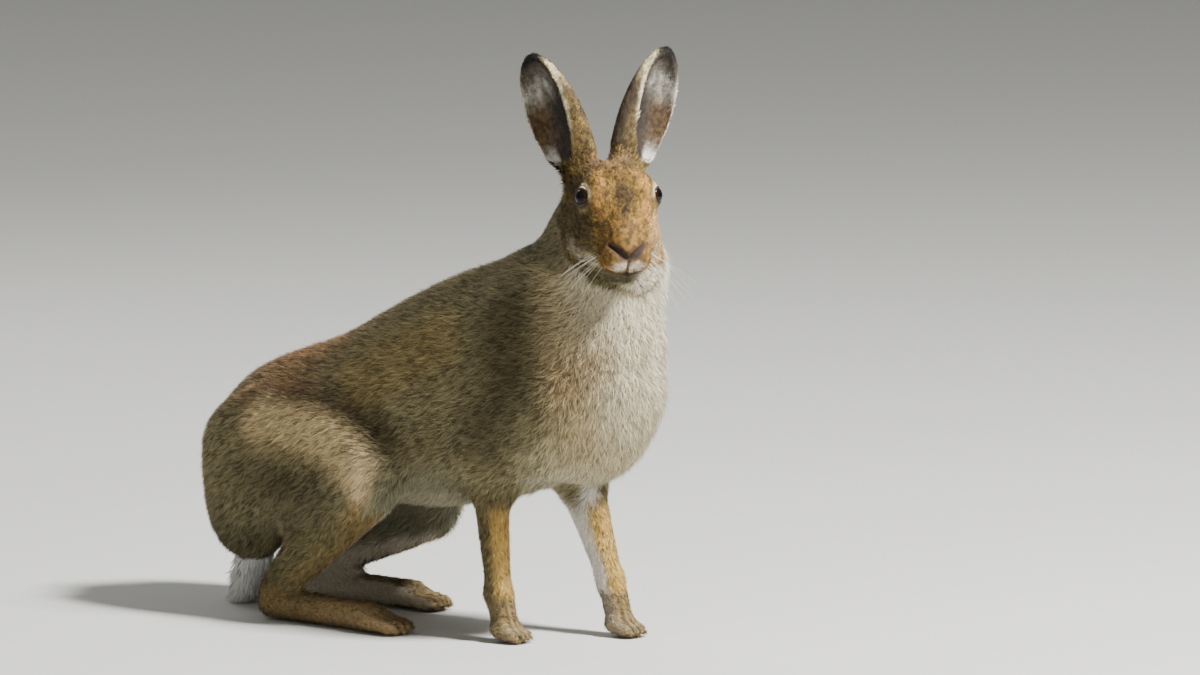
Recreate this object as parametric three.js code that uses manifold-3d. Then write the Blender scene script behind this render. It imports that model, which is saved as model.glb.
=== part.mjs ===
// A hare, life size, standing alert on all four feet with its hindquarters low
// and its head turned to the right. Millimetres, +Z up, +X towards the hare's
// front and +Y towards its left. The animal is modelled whole, out to the tips
// of its coat, as one field of muscles and bones that melt into one another.
// The field is drawn as a closed surface and parted with thin cuts.

import * as THREE from 'three';
import Module from 'manifold-3d';

const wasm = await Module();
wasm.setup();

// Driving dimensions.
const gap = 0.3;                 // air left between two sub-parts that meet
const rumpToChest = 404;         // trunk length along X, coat included
const withers = 286;             // height of the back over the shoulders
const chestWidth = 112;
const femur = 122;
const tibia = 132;
const hindFoot = 142;            // heel to the tips of the toes
const forearm = 103;
const earLength = 88;
const earWidth = 50;
const earDepth = 24;
const eyeRadius = 8.2;
const eyeSpread = 47;             // between the centres of the eyeballs
const faceLength = 50;           // eye to nose tip
const headTurn = -39.5;          // degrees about Z, towards the hare's right
const noseDrop = 43;             // degrees that the face slopes down
const tailLength = 60;

const radians = Math.PI / 180;

// Ways of melting shapes together. A shape is a function of x, y, z that gives
// a distance, below zero inside.
function soften(a, b, reach) {
  const h = Math.max(reach - Math.abs(a - b), 0) / reach;
  return Math.min(a, b) - h * h * reach / 4;
}

function melt(reach, shapes) {
  return (x, y, z) => {
    let total = shapes[0](x, y, z);
    for (let i = 1; i < shapes.length; i += 1) {
      total = soften(total, shapes[i](x, y, z), reach);
    }
    return total;
  };
}

function hollow(body, tool, reach) {
  return (x, y, z) => -soften(-body(x, y, z), tool(x, y, z), reach);
}

// An egg of three radii, pitched about Y (positive lowers its front end).
function egg(centre, radii, pitch = 0) {
  const c = Math.cos(pitch * radians);
  const s = Math.sin(pitch * radians);
  return (x, y, z) => {
    const dx = x - centre[0];
    const dy = y - centre[1];
    const dz = z - centre[2];
    const u = (dx * c - dz * s) / radii[0];
    const v = dy / radii[1];
    const w = (dx * s + dz * c) / radii[2];
    const near = Math.hypot(u, v, w);
    const slope = Math.hypot(u / radii[0], v / radii[1], w / radii[2]);
    return near * (near - 1) / Math.max(slope, 1e-9);
  };
}

// A limb from a to b: its radius runs from start to end, with a belly between,
// and flat scales its thickness along Y.
function limb(a, b, start, end, belly = 0, flat = 1) {
  const d = [b[0] - a[0], b[1] - a[1], b[2] - a[2]];
  const square = d[0] * d[0] + d[1] * d[1] + d[2] * d[2];
  return (x, y, z) => {
    const p = [x - a[0], y - a[1], z - a[2]];
    const along = (p[0] * d[0] + p[1] * d[1] + p[2] * d[2]) / square;
    const t = Math.min(Math.max(along, 0), 1);
    const radius = start + (end - start) * t + belly * 4 * t * (1 - t);
    const across = (p[1] - t * d[1]) / flat;
    return Math.hypot(p[0] - t * d[0], across, p[2] - t * d[2]) - radius;
  };
}

// A ring about an axis, as the edge of a lid.
function ring(centre, axis, radius, tube) {
  return (x, y, z) => {
    const p = [x - centre[0], y - centre[1], z - centre[2]];
    const up = p[0] * axis[0] + p[1] * axis[1] + p[2] * axis[2];
    const flat = Math.sqrt(Math.max(p[0] ** 2 + p[1] ** 2 + p[2] ** 2 - up * up, 0));
    return Math.hypot(flat - radius, up) - tube;
  };
}

// The same shape, seen in a frame with its own origin and axes.
function placed(shape, origin, axes) {
  const [i, j, k] = axes;
  return (x, y, z) => {
    const p = [x - origin[0], y - origin[1], z - origin[2]];
    return shape(
      p[0] * i[0] + p[1] * i[1] + p[2] * i[2],
      p[0] * j[0] + p[1] * j[1] + p[2] * j[2],
      p[0] * k[0] + p[1] * k[1] + p[2] * k[2]
    );
  };
}

// Far outside its ball a shape is only known by the distance to that ball.
function within(centre, radius, shape) {
  const margin = 30;
  return (x, y, z) => {
    const away = Math.hypot(x - centre[0], y - centre[1], z - centre[2]) - radius;
    return away > margin ? away : shape(x, y, z);
  };
}

// The point at a distance from another, up by pitch and round by heading.
function reachFrom(point, distance, pitch, heading) {
  const flat = distance * Math.cos(pitch * radians);
  return [
    point[0] + flat * Math.cos(heading * radians),
    point[1] + flat * Math.sin(heading * radians),
    point[2] + distance * Math.sin(pitch * radians)
  ];
}

function mix(a, b, t) {
  return [a[0] + (b[0] - a[0]) * t, a[1] + (b[1] - a[1]) * t, a[2] + (b[2] - a[2]) * t];
}

// The trunk: sections across X, each with its place, lowest and highest height
// and half width. The back is narrower than the belly.
const trunkSections = [
  [-292, 96, 140, 20],
  [-278, 66, 164, 42],
  [-253, 56, 183, 54],
  [-219, 58, 197, 60],
  [-173, 74, 213, 59],
  [-127, 86, 237, 58],
  [-81, 88, 259, 60],
  [-34, 96, 276, 60],
  [3, 106, withers, 56],
  [40, 124, 262, 48],
  [75, 152, 230, 34],
  [rumpToChest - 292 - 17, 178, 206, 14]
];
const taperToBack = 0.16;

function sectionAt(x) {
  const last = trunkSections.length - 1;
  let i = 0;
  while (i < last - 1 && trunkSections[i + 1][0] < x) i += 1;
  const before = trunkSections[Math.max(i - 1, 0)];
  const a = trunkSections[i];
  const b = trunkSections[i + 1];
  const after = trunkSections[Math.min(i + 2, last)];
  const t = Math.min(Math.max((x - a[0]) / (b[0] - a[0]), 0), 1);
  return [1, 2, 3].map((j) => {
    const leave = (b[j] - before[j]) / (b[0] - before[0]) * (b[0] - a[0]);
    const arrive = (after[j] - a[j]) / (after[0] - a[0]) * (b[0] - a[0]);
    const s = t * t;
    const c = s * t;
    return (2 * c - 3 * s + 1) * a[j] + (c - 2 * s + t) * leave +
      (3 * s - 2 * c) * b[j] + (c - s) * arrive;
  });
}

function trunk(x, y, z) {
  const first = trunkSections[0][0];
  const end = trunkSections[trunkSections.length - 1][0];
  const [low, high, half] = sectionAt(x);
  const middle = (low + high) / 2;
  const tall = (high - low) / 2;
  const lift = Math.min(Math.max((z - middle) / tall, -1), 1);
  const wide = half * (1 - taperToBack * lift);
  const across = y / wide;
  const up = (z - middle) / tall;
  const near = Math.hypot(across, up);
  const slope = Math.hypot(across / wide, up / tall);
  const side = near * (near - 1) / Math.max(slope, 1e-9);
  const past = Math.max(first - x, x - end, 0);
  return past > 0 ? Math.hypot(past, Math.max(side, 0)) : side;
}

// Forelegs. The right one stands straight, the left one reaches forward and is
// thicker at the top, where its muscle is drawn ahead.
const forelegs = {
  right: {
    side: -1, shoulder: [44, -40, 178], elbow: [-16, -37, 138], lean: -84.5, heading: -1,
    girth: 18, step: 6.5
  },
  left: {
    side: 1, shoulder: [52, 40, 178], elbow: [-1, 36, 136], lean: -67, heading: 1,
    girth: 22.5, step: 9
  }
};
const wristRadius = 10.5;
const slimGirth = 18;
const toeCount = 4;

function foreleg(leg) {
  const wrist = reachFrom(leg.elbow, forearm, leg.lean, leg.heading);
  const knuckle = [wrist[0] + leg.step, wrist[1], 12];
  const toes = [];
  for (let i = 0; i < toeCount; i += 1) {
    const spread = (i - (toeCount - 1) / 2) * 5.6;
    const reach = 19 - Math.abs(spread) * 0.45;
    const root = [knuckle[0] - 2, knuckle[1] + spread * 0.8, 10];
    const tip = [knuckle[0] + reach - 3, knuckle[1] + spread, 5];
    const claw = [tip[0] + 8, tip[1] + spread * 0.06, 3];
    toes.push(limb(root, tip, 6.4, 5));
    toes.push(limb(tip, claw, 2.2, 1.1));
  }
  const lower = melt(5, [
    limb(wrist, knuckle, wristRadius, 10.5, 0, 1),
    melt(1.6, toes)
  ]);
  const middle = mix(leg.elbow, wrist, 0.5);
  const top = [leg.elbow[0] + leg.girth - slimGirth, leg.elbow[1], leg.elbow[2]];
  const flare = egg([top[0] + 7, top[1], top[2] - 14], [leg.girth + 7, 14.5, 29]);
  const shape = melt(7, [
    limb(top, wrist, leg.girth, wristRadius, -1.2, 0.92),
    flare,
    lower
  ]);
  return {
    ...leg,
    wrist,
    knuckle,
    upper: limb(leg.shoulder, leg.elbow, 30, 22, 2, 0.9),
    lower: within(middle, forearm * 0.8, shape)
  };
}

// Hind legs. The thigh lies along the flank, the shin comes back to the hock
// and the long foot is flat on the ground. The left leg is set further back.
const hindLegs = {
  right: {
    side: -1, hip: [-232, -28, 158], thighPitch: -17, thighHeading: -15,
    shinPitch: -48, shinHeading: 176, footHeading: -4,
    haunch: [-188, -42, 119], haunchRadii: [93, 33, 58]
  },
  left: {
    side: 1, hip: [-249, 26, 153], thighPitch: -30, thighHeading: 13,
    shinPitch: -30.5, shinHeading: 182, footHeading: 3,
    haunch: [-204, 40, 115], haunchRadii: [80, 32, 57]
  }
};

function hindLeg(leg) {
  const knee = reachFrom(leg.hip, femur, leg.thighPitch, leg.thighHeading);
  const hock = reachFrom(knee, tibia, leg.shinPitch, leg.shinHeading);
  const heel = [hock[0] + 2, hock[1], 12.5];
  const ball = reachFrom([heel[0], heel[1], 10.5], hindFoot * 0.7, 0, leg.footHeading);
  const toes = [];
  for (let i = 0; i < toeCount; i += 1) {
    const spread = (i - (toeCount - 1) / 2) * 7;
    const reach = hindFoot * 0.24 - Math.abs(spread) * 0.5;
    const root = [ball[0] - 6, ball[1] + spread * 0.75, 10];
    const tip = [ball[0] + reach - 6, ball[1] + spread, 6];
    const claw = [tip[0] + 9, tip[1] + spread * 0.05, 3.2];
    toes.push(limb(root, tip, 7.6, 5.8));
    toes.push(limb(tip, claw, 2.4, 1.2));
  }
  const foot = melt(5, [
    limb(heel, ball, 13, 12, -0.5, 1.05),
    melt(1.8, toes)
  ]);
  const shinTop = [knee[0] + 6, knee[1] - leg.side * 2, knee[2] - 8];
  const shin = limb(shinTop, [hock[0] + 3, hock[1], hock[2] - 1], 31, 13, 2, 0.72);
  const shape = melt(8, [shin, foot]);
  return {
    ...leg,
    knee,
    hock,
    heel,
    ball,
    thigh: melt(14, [
      egg(leg.haunch, leg.haunchRadii, 3),
      limb(mix(leg.hip, knee, 0.55), knee, 36, 27, 0, 0.6),
      egg([-240, leg.side * 36, 87], [39, 31, 49])
    ]),
    lower: within(mix(hock, knee, 0.3), hindFoot * 0.95, shape)
  };
}

const fore = { right: foreleg(forelegs.right), left: foreleg(forelegs.left) };
const hind = { right: hindLeg(hindLegs.right), left: hindLeg(hindLegs.left) };

// Head. Its frame has its origin midway between the eyes, its first axis
// forward, its second to the hare's left and its third up.
const headOrigin = [92, -22, 331];
const headForward = [Math.cos(headTurn * radians), Math.sin(headTurn * radians), 0];
const headLeft = [-headForward[1], headForward[0], 0];
const headAxes = [headForward, headLeft, [0, 0, 1]];

function headPoint(f, l, u) {
  return [
    headOrigin[0] + headForward[0] * f + headLeft[0] * l,
    headOrigin[1] + headForward[1] * f + headLeft[1] * l,
    headOrigin[2] + u
  ];
}

const nose = [faceLength * Math.cos(noseDrop * radians), 0, -faceLength * Math.sin(noseDrop * radians)];
const sides = { right: -1, left: 1 };

function bothSides(make) {
  return [make(-1), make(1)];
}

const eyeAxis = (side) => [0.42, side * 0.89, 0.16];
const eyeCentre = (side) => [3, side * eyeSpread / 2, 0];

function lid(side) {
  const axis = eyeAxis(side);
  const centre = eyeCentre(side);
  const out = eyeRadius * 0.46;
  return ring([0, 1, 2].map((i) => centre[i] + axis[i] * out), axis, eyeRadius * 0.95, 1.8);
}

const skull = melt(12, [
  egg([-17, 0, -2], [34, 26.5, 24.5], 14),
  limb([-4, 0, -3], [nose[0] - 12, 0, nose[2] + 7], 19.5, 12, 0, 0.98),
  ...bothSides((s) => egg([-4, s * 14, -22], [23, 16.5, 21], 30)),
  ...bothSides((s) => limb([-22, s * 11, -33], [13, s * 4, -50], 19, 9.5)),
  ...bothSides((s) => egg([-17, s * 17, -36], [19, 16, 19], 20))
]);
const muzzle = melt(6, [
  egg([nose[0] - 17, 0, nose[2] - 4], [17, 17.5, 15.5], 20),
  ...bothSides((s) => egg([nose[0] - 11.5, s * 8.5, nose[2] - 7.5], [11.5, 10.5, 10.5], 10)),
  egg([nose[0] - 6, 0, nose[2] - 1], [6.5, 8.5, 6], 35),
  egg([nose[0] - 19, 0, nose[2] - 18], [11.5, 10.5, 7], 0)
]);
const brows = melt(5, [
  ...bothSides((s) => egg([1, s * 16.5, 9], [15, 9, 7.5], 10)),
  ...bothSides((s) => egg([1, s * 16, -1], [15, 10.2, 12.5], 0))
]);

// Ears. Each is an egg hollowed on the side that opens outwards and forwards. The
// hollow leans, so that it is wide at the top and runs down to the outer edge, and
// the inner edge is a broad roll.
const earLean = { right: [-42, -21, 16.8, -52, -50.6, 91.8], left: [-42, 17.5, 19.4, -52, 49, 102.4] };
const earOpening = { right: 52, left: 34 };    // degrees that the hollow turns outwards
const cupLean = 10;                            // degrees that its foot leans outwards

function earFrame(name) {
  const side = sides[name];
  const p = earLean[name];
  const up = new THREE.Vector3(p[3] - p[0], p[4] - p[1], p[5] - p[2]).normalize();
  const open = new THREE.Vector3(
    Math.cos(earOpening[name] * radians),
    side * Math.sin(earOpening[name] * radians),
    0
  );
  open.addScaledVector(up, -open.dot(up)).normalize();
  const across = new THREE.Vector3().crossVectors(up, open);
  return { root: p.slice(0, 3), open, across, up };
}

function ear(name) {
  const frame = earFrame(name);
  const half = earLength * 0.63;
  const middle = earLength * 0.38;
  const outer = egg([0, 0, middle], [earDepth / 2, earWidth / 2, half]);
  const lean = cupLean * radians * sides[name];
  const cupAxes = [[1, 0, 0], [0, Math.cos(lean), Math.sin(lean)], [0, -Math.sin(lean), Math.cos(lean)]];
  const cup = placed(
    egg([0, 0, 0], [16.5, earWidth / 2 - 6.7, half - 7.5]),
    [9, sides[name] * 4.2, middle + 4],
    cupAxes
  );
  const stem = limb([-2, 0, -12], [0, 0, 20], 14, 13);
  const outside = sides[name] * 13;
  const lobe = egg([1, outside, 15], [6, 6.5, 13]);
  const shell = melt(6, [outer, stem, lobe]);
  const shape = hollow(shell, cup, 2.4);
  const axes = [frame.open, frame.across, frame.up].map((v) => v.toArray());
  return placed(shape, frame.root, axes);
}

// The line of the mouth, the cleft of the lip and the slits of the nostrils are
// drawn on the face as it is seen from ahead, and pressed into it.
const headFlesh = melt(9, [skull, muzzle, brows]);

function faceAt(left, up) {
  let inside = -10;
  let outside = 60;
  for (let i = 0; i < 20; i += 1) {
    const middle = (inside + outside) / 2;
    if (headFlesh(middle, left, up) < 0) inside = middle;
    else outside = middle;
  }
  return [inside, left, up];
}

function groove(at, steps, start, end) {
  const pieces = [];
  for (let i = 0; i < steps; i += 1) {
    const radius = (t) => start + (end - start) * t;
    const [from, to] = [i / steps, (i + 1) / steps];
    pieces.push(limb(faceAt(...at(from)), faceAt(...at(to)), radius(from), radius(to)));
  }
  return melt(0.5, pieces);
}

const lipDrop = 18.6;
const lipHalf = 18.5;
const lipRise = 3.2;             // the corners of the mouth over its middle
const nostrilDrop = 6.8;
const nostrilHalf = 13.5;
const nostrilRise = 10.5;
const creases = melt(1, [
  ...bothSides((s) => groove(
    (t) => [s * lipHalf * t, nose[2] - lipDrop + lipRise * t * t],
    6,
    1.5,
    1.1
  )),
  groove((t) => [0, nose[2] - nostrilDrop - (lipDrop - nostrilDrop) * t], 3, 1.2, 1.3),
  ...bothSides((s) => groove(
    (t) => [s * (1 + (nostrilHalf - 1) * t), nose[2] - nostrilDrop + nostrilRise * t],
    5,
    1.3,
    1.9
  ))
]);

const headEars = melt(7, [headFlesh, ear('right'), ear('left')]);
const headLids = melt(2, [headEars, lid(-1), lid(1)]);
const headCreased = hollow(headLids, creases, 0.8);
const head = within(headPoint(-12, 0, 25), 110, placed(headCreased, headOrigin, headAxes));

// Neck, chest and shoulders.
const neckTop = headPoint(-36, 1.8, -15);
const neck = limb([22, 0, 238], neckTop, 50, 30, 0, 0.96);
const chest = egg([50, 0, 195], [56, chestWidth / 2, 80], 0);
const throat = egg([71, 10, 271], [35, 36, 43], 0);
const bib = egg([70, 6, 234], [33.5, 36, 36], 0);
const nape = egg([43, -4, 304], [20, 21.5, 28], 20);
const shoulders = bothSides((s) => egg([12, s * 33, 188], [44, 25, 68], -12));

// Tail.
const tailRoot = [-259, 0, 60];
const tailTip = reachFrom(tailRoot, tailLength - 8, -71, 180);
const tail = limb(tailRoot, tailTip, 13, 13.5, 2.5, 1.05);

const body = melt(14, [
  melt(16, [trunk, chest, ...shoulders, melt(10, [neck, throat, bib, nape])]),
  fore.right.upper,
  fore.left.upper
]);
const withThighs = melt(9, [body, hind.right.thigh, hind.left.thigh]);
const withLegs = melt(9, [withThighs, fore.right.lower, fore.left.lower, hind.right.lower,
  hind.left.lower]);
const withTail = melt(8, [withLegs, within(tailRoot, tailLength, tail)]);
const flesh = melt(10, [withTail, head]);

// Draws a field as a closed surface inside a box: one point in each cell for
// each sheet of the surface that passes through it, and one four-sided face
// for each grid edge that the surface crosses.
const cubeCorners = [0, 1, 2, 3, 4, 5, 6, 7].map((c) => [c & 1, (c >> 1) & 1, (c >> 2) & 1]);
const cubeEdges = [];
for (let axis = 0; axis < 3; axis += 1) {
  for (let c = 0; c < 8; c += 1) {
    if (cubeCorners[c][axis] === 0) cubeEdges.push([c, c | (1 << axis)]);
  }
}
const edgeAt = (corner, axis) => cubeEdges.findIndex(
  ([a, b]) => a === corner && b === (corner | (1 << axis))
);
const cubeFaces = [];
for (let axis = 0; axis < 3; axis += 1) {
  for (const side of [0, 1]) {
    const onFace = (c) => cubeCorners[c][axis] === side;
    cubeFaces.push([0, 1, 2, 3, 4, 5, 6, 7, 8, 9, 10, 11].filter(
      (e) => onFace(cubeEdges[e][0]) && onFace(cubeEdges[e][1])
    ));
  }
}

function sampleField(field, low, high, cell) {
  const count = low.map((value, i) => Math.ceil((high[i] - value) / cell) + 3);
  const start = low.map((value) => value - cell);
  const values = new Float32Array(count[0] * count[1] * count[2]);
  const index = (i, j, k) => i + count[0] * (j + count[1] * k);
  const sample = (i, j, k) => {
    const p = [start[0] + i * cell, start[1] + j * cell, start[2] + k * cell];
    const out = Math.max(...p.map((value, a) => Math.max(low[a] - value, value - high[a])));
    return out > cell ? out : Math.max(field(...p), out);
  };
  const step = 4;
  const sure = step * cell * 1.6;
  for (let k = 0; k < count[2]; k += step) {
    for (let j = 0; j < count[1]; j += step) {
      for (let i = 0; i < count[0]; i += step) {
        const rough = sample(i + step / 2, j + step / 2, k + step / 2);
        const far = Math.abs(rough) > sure;
        for (let c = k; c < Math.min(k + step, count[2]); c += 1) {
          for (let b = j; b < Math.min(j + step, count[1]); b += 1) {
            for (let a = i; a < Math.min(i + step, count[0]); a += 1) {
              values[index(a, b, c)] = far ? rough : sample(a, b, c);
            }
          }
        }
      }
    }
  }
  return { count, start, values, index };
}

// Sorts the crossed edges of a cell into sheets, linked across its faces.
function sheetsOf(v) {
  const crossed = cubeEdges.map(([a, b]) => (v[a] < 0) !== (v[b] < 0));
  const sheet = cubeEdges.map((edge, e) => e);
  const link = (a, b) => {
    const from = sheet[b];
    const to = sheet[a];
    sheet.forEach((value, e) => {
      if (value === from) sheet[e] = to;
    });
  };
  for (const face of cubeFaces) {
    const cuts = face.filter((e) => crossed[e]);
    if (cuts.length === 2) link(cuts[0], cuts[1]);
    if (cuts.length === 4) {
      for (let i = 0; i < 4; i += 1) {
        for (let j = i + 1; j < 4; j += 1) {
          const shared = cubeEdges[cuts[i]].find((c) => cubeEdges[cuts[j]].includes(c));
          if (shared !== undefined && v[shared] < 0) link(cuts[i], cuts[j]);
        }
      }
    }
  }
  return { crossed, sheet };
}

function polygonise(field, low, high, cell) {
  const { count, start, values, index } = sampleField(field, low, high, cell);
  const [nx, ny, nz] = count;
  const points = [];
  const pointsOf = new Map();
  for (let k = 0; k < nz - 1; k += 1) {
    for (let j = 0; j < ny - 1; j += 1) {
      for (let i = 0; i < nx - 1; i += 1) {
        const first = values[index(i, j, k)] < 0;
        let mixed = false;
        for (let c = 1; c < 8 && !mixed; c += 1) {
          mixed = (values[index(i + (c & 1), j + ((c >> 1) & 1), k + ((c >> 2) & 1))] < 0) !== first;
        }
        if (!mixed) continue;
        const v = cubeCorners.map((c) => values[index(i + c[0], j + c[1], k + c[2])]);
        const { crossed, sheet } = sheetsOf(v);
        const own = new Array(12).fill(-1);
        for (const group of new Set(sheet.filter((value, e) => crossed[e]))) {
          const sum = [0, 0, 0];
          const members = cubeEdges.map((edge, e) => e).filter((e) => crossed[e] && sheet[e] === group);
          for (const e of members) {
            const [a, b] = cubeEdges[e];
            const t = v[a] / (v[a] - v[b]);
            for (let n = 0; n < 3; n += 1) {
              sum[n] += cubeCorners[a][n] + (cubeCorners[b][n] - cubeCorners[a][n]) * t;
            }
            own[e] = points.length;
          }
          const at = [i, j, k];
          points.push(sum.map((value, n) => start[n] + (at[n] + value / members.length) * cell));
        }
        pointsOf.set(index(i, j, k), own);
      }
    }
  }
  const faces = [];
  const steps = [[1, 0, 0], [0, 1, 0], [0, 0, 1]];
  const round = [[0, 0], [1, 0], [1, 1], [0, 1]];
  const local = steps.map((step, axis) => round.map(([a, b]) => {
    const corner = (a << ((axis + 1) % 3)) | (b << ((axis + 2) % 3));
    return edgeAt(corner, axis);
  }));
  for (let k = 1; k < nz - 1; k += 1) {
    for (let j = 1; j < ny - 1; j += 1) {
      for (let i = 1; i < nx - 1; i += 1) {
        const here = values[index(i, j, k)] < 0;
        steps.forEach((step, axis) => {
          const there = values[index(i + step[0], j + step[1], k + step[2])] < 0;
          if (here === there) return;
          const u = steps[(axis + 1) % 3];
          const w = steps[(axis + 2) % 3];
          const quad = round.map(([a, b], n) => pointsOf.get(index(
            i - a * u[0] - b * w[0],
            j - a * u[1] - b * w[1],
            k - a * u[2] - b * w[2]
          ))[local[axis][n]]);
          if (!here) quad.reverse();
          faces.push([quad[0], quad[1], quad[2]], [quad[0], quad[2], quad[3]]);
        });
      }
    }
  }
  return { points, faces };
}

// Merges the ends of edges, cheapest first by the squared distance to the
// planes of the faces they carry, until few enough triangles are left.
function simplify({ points, faces }, budget, dearest = Infinity) {
  const owners = points.map(() => new Set());
  const quadrics = points.map(() => new Float64Array(10));
  const alive = new Uint8Array(faces.length).fill(1);
  const stamp = new Uint32Array(points.length);
  const normalOf = (a, b, c) => {
    const u = [b[0] - a[0], b[1] - a[1], b[2] - a[2]];
    const v = [c[0] - a[0], c[1] - a[1], c[2] - a[2]];
    return [u[1] * v[2] - u[2] * v[1], u[2] * v[0] - u[0] * v[2], u[0] * v[1] - u[1] * v[0]];
  };
  faces.forEach((face, f) => {
    const n = normalOf(...face.map((p) => points[p]));
    const size = Math.hypot(...n) || 1e-12;
    const m = n.map((value) => value / size);
    const d = -(m[0] * points[face[0]][0] + m[1] * points[face[0]][1] + m[2] * points[face[0]][2]);
    const plane = [...m, d];
    for (const p of face) {
      owners[p].add(f);
      let slot = 0;
      for (let a = 0; a < 4; a += 1) {
        for (let b = a; b < 4; b += 1) {
          quadrics[p][slot] += plane[a] * plane[b] * size;
          slot += 1;
        }
      }
    }
  });
  const cost = (q, p) => q[0] * p[0] ** 2 + 2 * q[1] * p[0] * p[1] + 2 * q[2] * p[0] * p[2] +
    2 * q[3] * p[0] + q[4] * p[1] ** 2 + 2 * q[5] * p[1] * p[2] + 2 * q[6] * p[1] +
    q[7] * p[2] ** 2 + 2 * q[8] * p[2] + q[9];
  const evenness = 0.0006;
  const heap = [];
  const swap = (a, b) => {
    const kept = heap[a];
    heap[a] = heap[b];
    heap[b] = kept;
  };
  const push = (entry) => {
    let at = heap.push(entry) - 1;
    while (at > 0 && heap[(at - 1) >> 1].cost > heap[at].cost) {
      swap(at, (at - 1) >> 1);
      at = (at - 1) >> 1;
    }
  };
  const pop = () => {
    const top = heap[0];
    const last = heap.pop();
    if (heap.length > 0) {
      heap[0] = last;
      let at = 0;
      for (;;) {
        const left = 2 * at + 1;
        let least = at;
        if (left < heap.length && heap[left].cost < heap[least].cost) least = left;
        if (left + 1 < heap.length && heap[left + 1].cost < heap[least].cost) least = left + 1;
        if (least === at) break;
        swap(at, least);
        at = least;
      }
    }
    return top;
  };
  const best = (q, a, b) => {
    const choices = [a, b, mix(a, b, 0.5)];
    const xx = q[4] * q[7] - q[5] * q[5];
    const xy = q[2] * q[5] - q[1] * q[7];
    const xz = q[1] * q[5] - q[2] * q[4];
    const det = q[0] * xx + q[1] * xy + q[2] * xz;
    if (Math.abs(det) > 1e-6 * (q[0] + q[4] + q[7]) ** 3) {
      const yy = q[0] * q[7] - q[2] * q[2];
      const yz = q[1] * q[2] - q[0] * q[5];
      const zz = q[0] * q[4] - q[1] * q[1];
      const p = [
        -(xx * q[3] + xy * q[6] + xz * q[8]) / det,
        -(xy * q[3] + yy * q[6] + yz * q[8]) / det,
        -(xz * q[3] + yz * q[6] + zz * q[8]) / det
      ];
      const middle = choices[2];
      const span = Math.hypot(a[0] - b[0], a[1] - b[1], a[2] - b[2]);
      if (Math.hypot(p[0] - middle[0], p[1] - middle[1], p[2] - middle[2]) < 2 * span) {
        choices.push(p);
      }
    }
    let found = choices[0];
    for (const p of choices) if (cost(q, p) < cost(q, found)) found = p;
    return found;
  };
  const offer = (a, b) => {
    const q = quadrics[a].map((value, i) => value + quadrics[b][i]);
    const p = best(q, points[a], points[b]);
    const span = Math.hypot(
      points[a][0] - points[b][0],
      points[a][1] - points[b][1],
      points[a][2] - points[b][2]
    );
    push({ a, b, p, cost: Math.max(cost(q, p), 0) + evenness * span ** 4, seen: stamp[a] + stamp[b] });
  };
  const ring1 = (a) => {
    const found = new Set();
    for (const f of owners[a]) for (const p of faces[f]) if (p !== a) found.add(p);
    return found;
  };
  const turns = (a, other, p) => {
    for (const f of owners[a]) {
      const face = faces[f];
      if (face.includes(other)) continue;
      const before = normalOf(...face.map((v) => points[v]));
      const after = normalOf(...face.map((v) => (v === a ? p : points[v])));
      const dot = before[0] * after[0] + before[1] * after[1] + before[2] * after[2];
      if (dot <= 0.25 * Math.hypot(...before) * Math.hypot(...after)) return true;
    }
    return false;
  };
  const done = new Set();
  faces.forEach((face) => {
    for (let i = 0; i < 3; i += 1) {
      const a = Math.min(face[i], face[(i + 1) % 3]);
      const b = Math.max(face[i], face[(i + 1) % 3]);
      const key = a * points.length + b;
      if (!done.has(key)) offer(a, b);
      done.add(key);
    }
  });
  let left = faces.length;
  while (left > budget && heap.length > 0) {
    const { a, b, p, seen, cost: price } = pop();
    if (price > dearest) break;
    if (owners[a].size === 0 || owners[b].size === 0 || seen !== stamp[a] + stamp[b]) continue;
    const shared = [...owners[a]].filter((f) => owners[b].has(f));
    const around = ring1(b);
    const common = [...ring1(a)].filter((v) => around.has(v));
    if (shared.length !== 2 || common.length !== 2 || turns(a, b, p) || turns(b, a, p)) continue;
    for (const f of shared) {
      alive[f] = 0;
      for (const v of faces[f]) owners[v].delete(f);
    }
    left -= 2;
    for (const f of owners[b]) {
      faces[f] = faces[f].map((v) => (v === b ? a : v));
      owners[a].add(f);
    }
    owners[b].clear();
    points[a] = p;
    quadrics[a] = quadrics[a].map((value, i) => value + quadrics[b][i]);
    stamp[a] += 1;
    for (const v of ring1(a)) offer(a, v);
  }
  const used = new Map();
  const keptFaces = faces.filter((face, f) => alive[f]);
  for (const face of keptFaces) for (const v of face) if (!used.has(v)) used.set(v, used.size);
  const keptPoints = [...used.keys()].map((v) => points[v]);
  return { points: keptPoints, faces: keptFaces.map((face) => face.map((v) => used.get(v))) };
}

// Solids for joining and cutting.
function solidOf(points, faces) {
  return new wasm.Manifold(new wasm.Mesh({
    numProp: 3,
    vertProperties: new Float32Array(points.flat()),
    triVerts: new Uint32Array(faces.flat())
  }));
}

function volumeOf(low, high, cell, budget) {
  const drawn = simplify(polygonise(flesh, low, high, cell), budget);
  return solidOf(drawn.points, drawn.faces);
}

// A prism: an outline of x, z points drawn from one y to another.
function prism(outline, near, far) {
  const shape = new THREE.Shape(outline.map(([x, z]) => new THREE.Vector2(x, z)));
  const geometry = new THREE.ExtrudeGeometry(shape, { depth: far - near, bevelEnabled: false });
  geometry.rotateX(Math.PI / 2);
  geometry.translate(0, far, 0);
  return solidFromGeometry(geometry);
}

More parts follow.
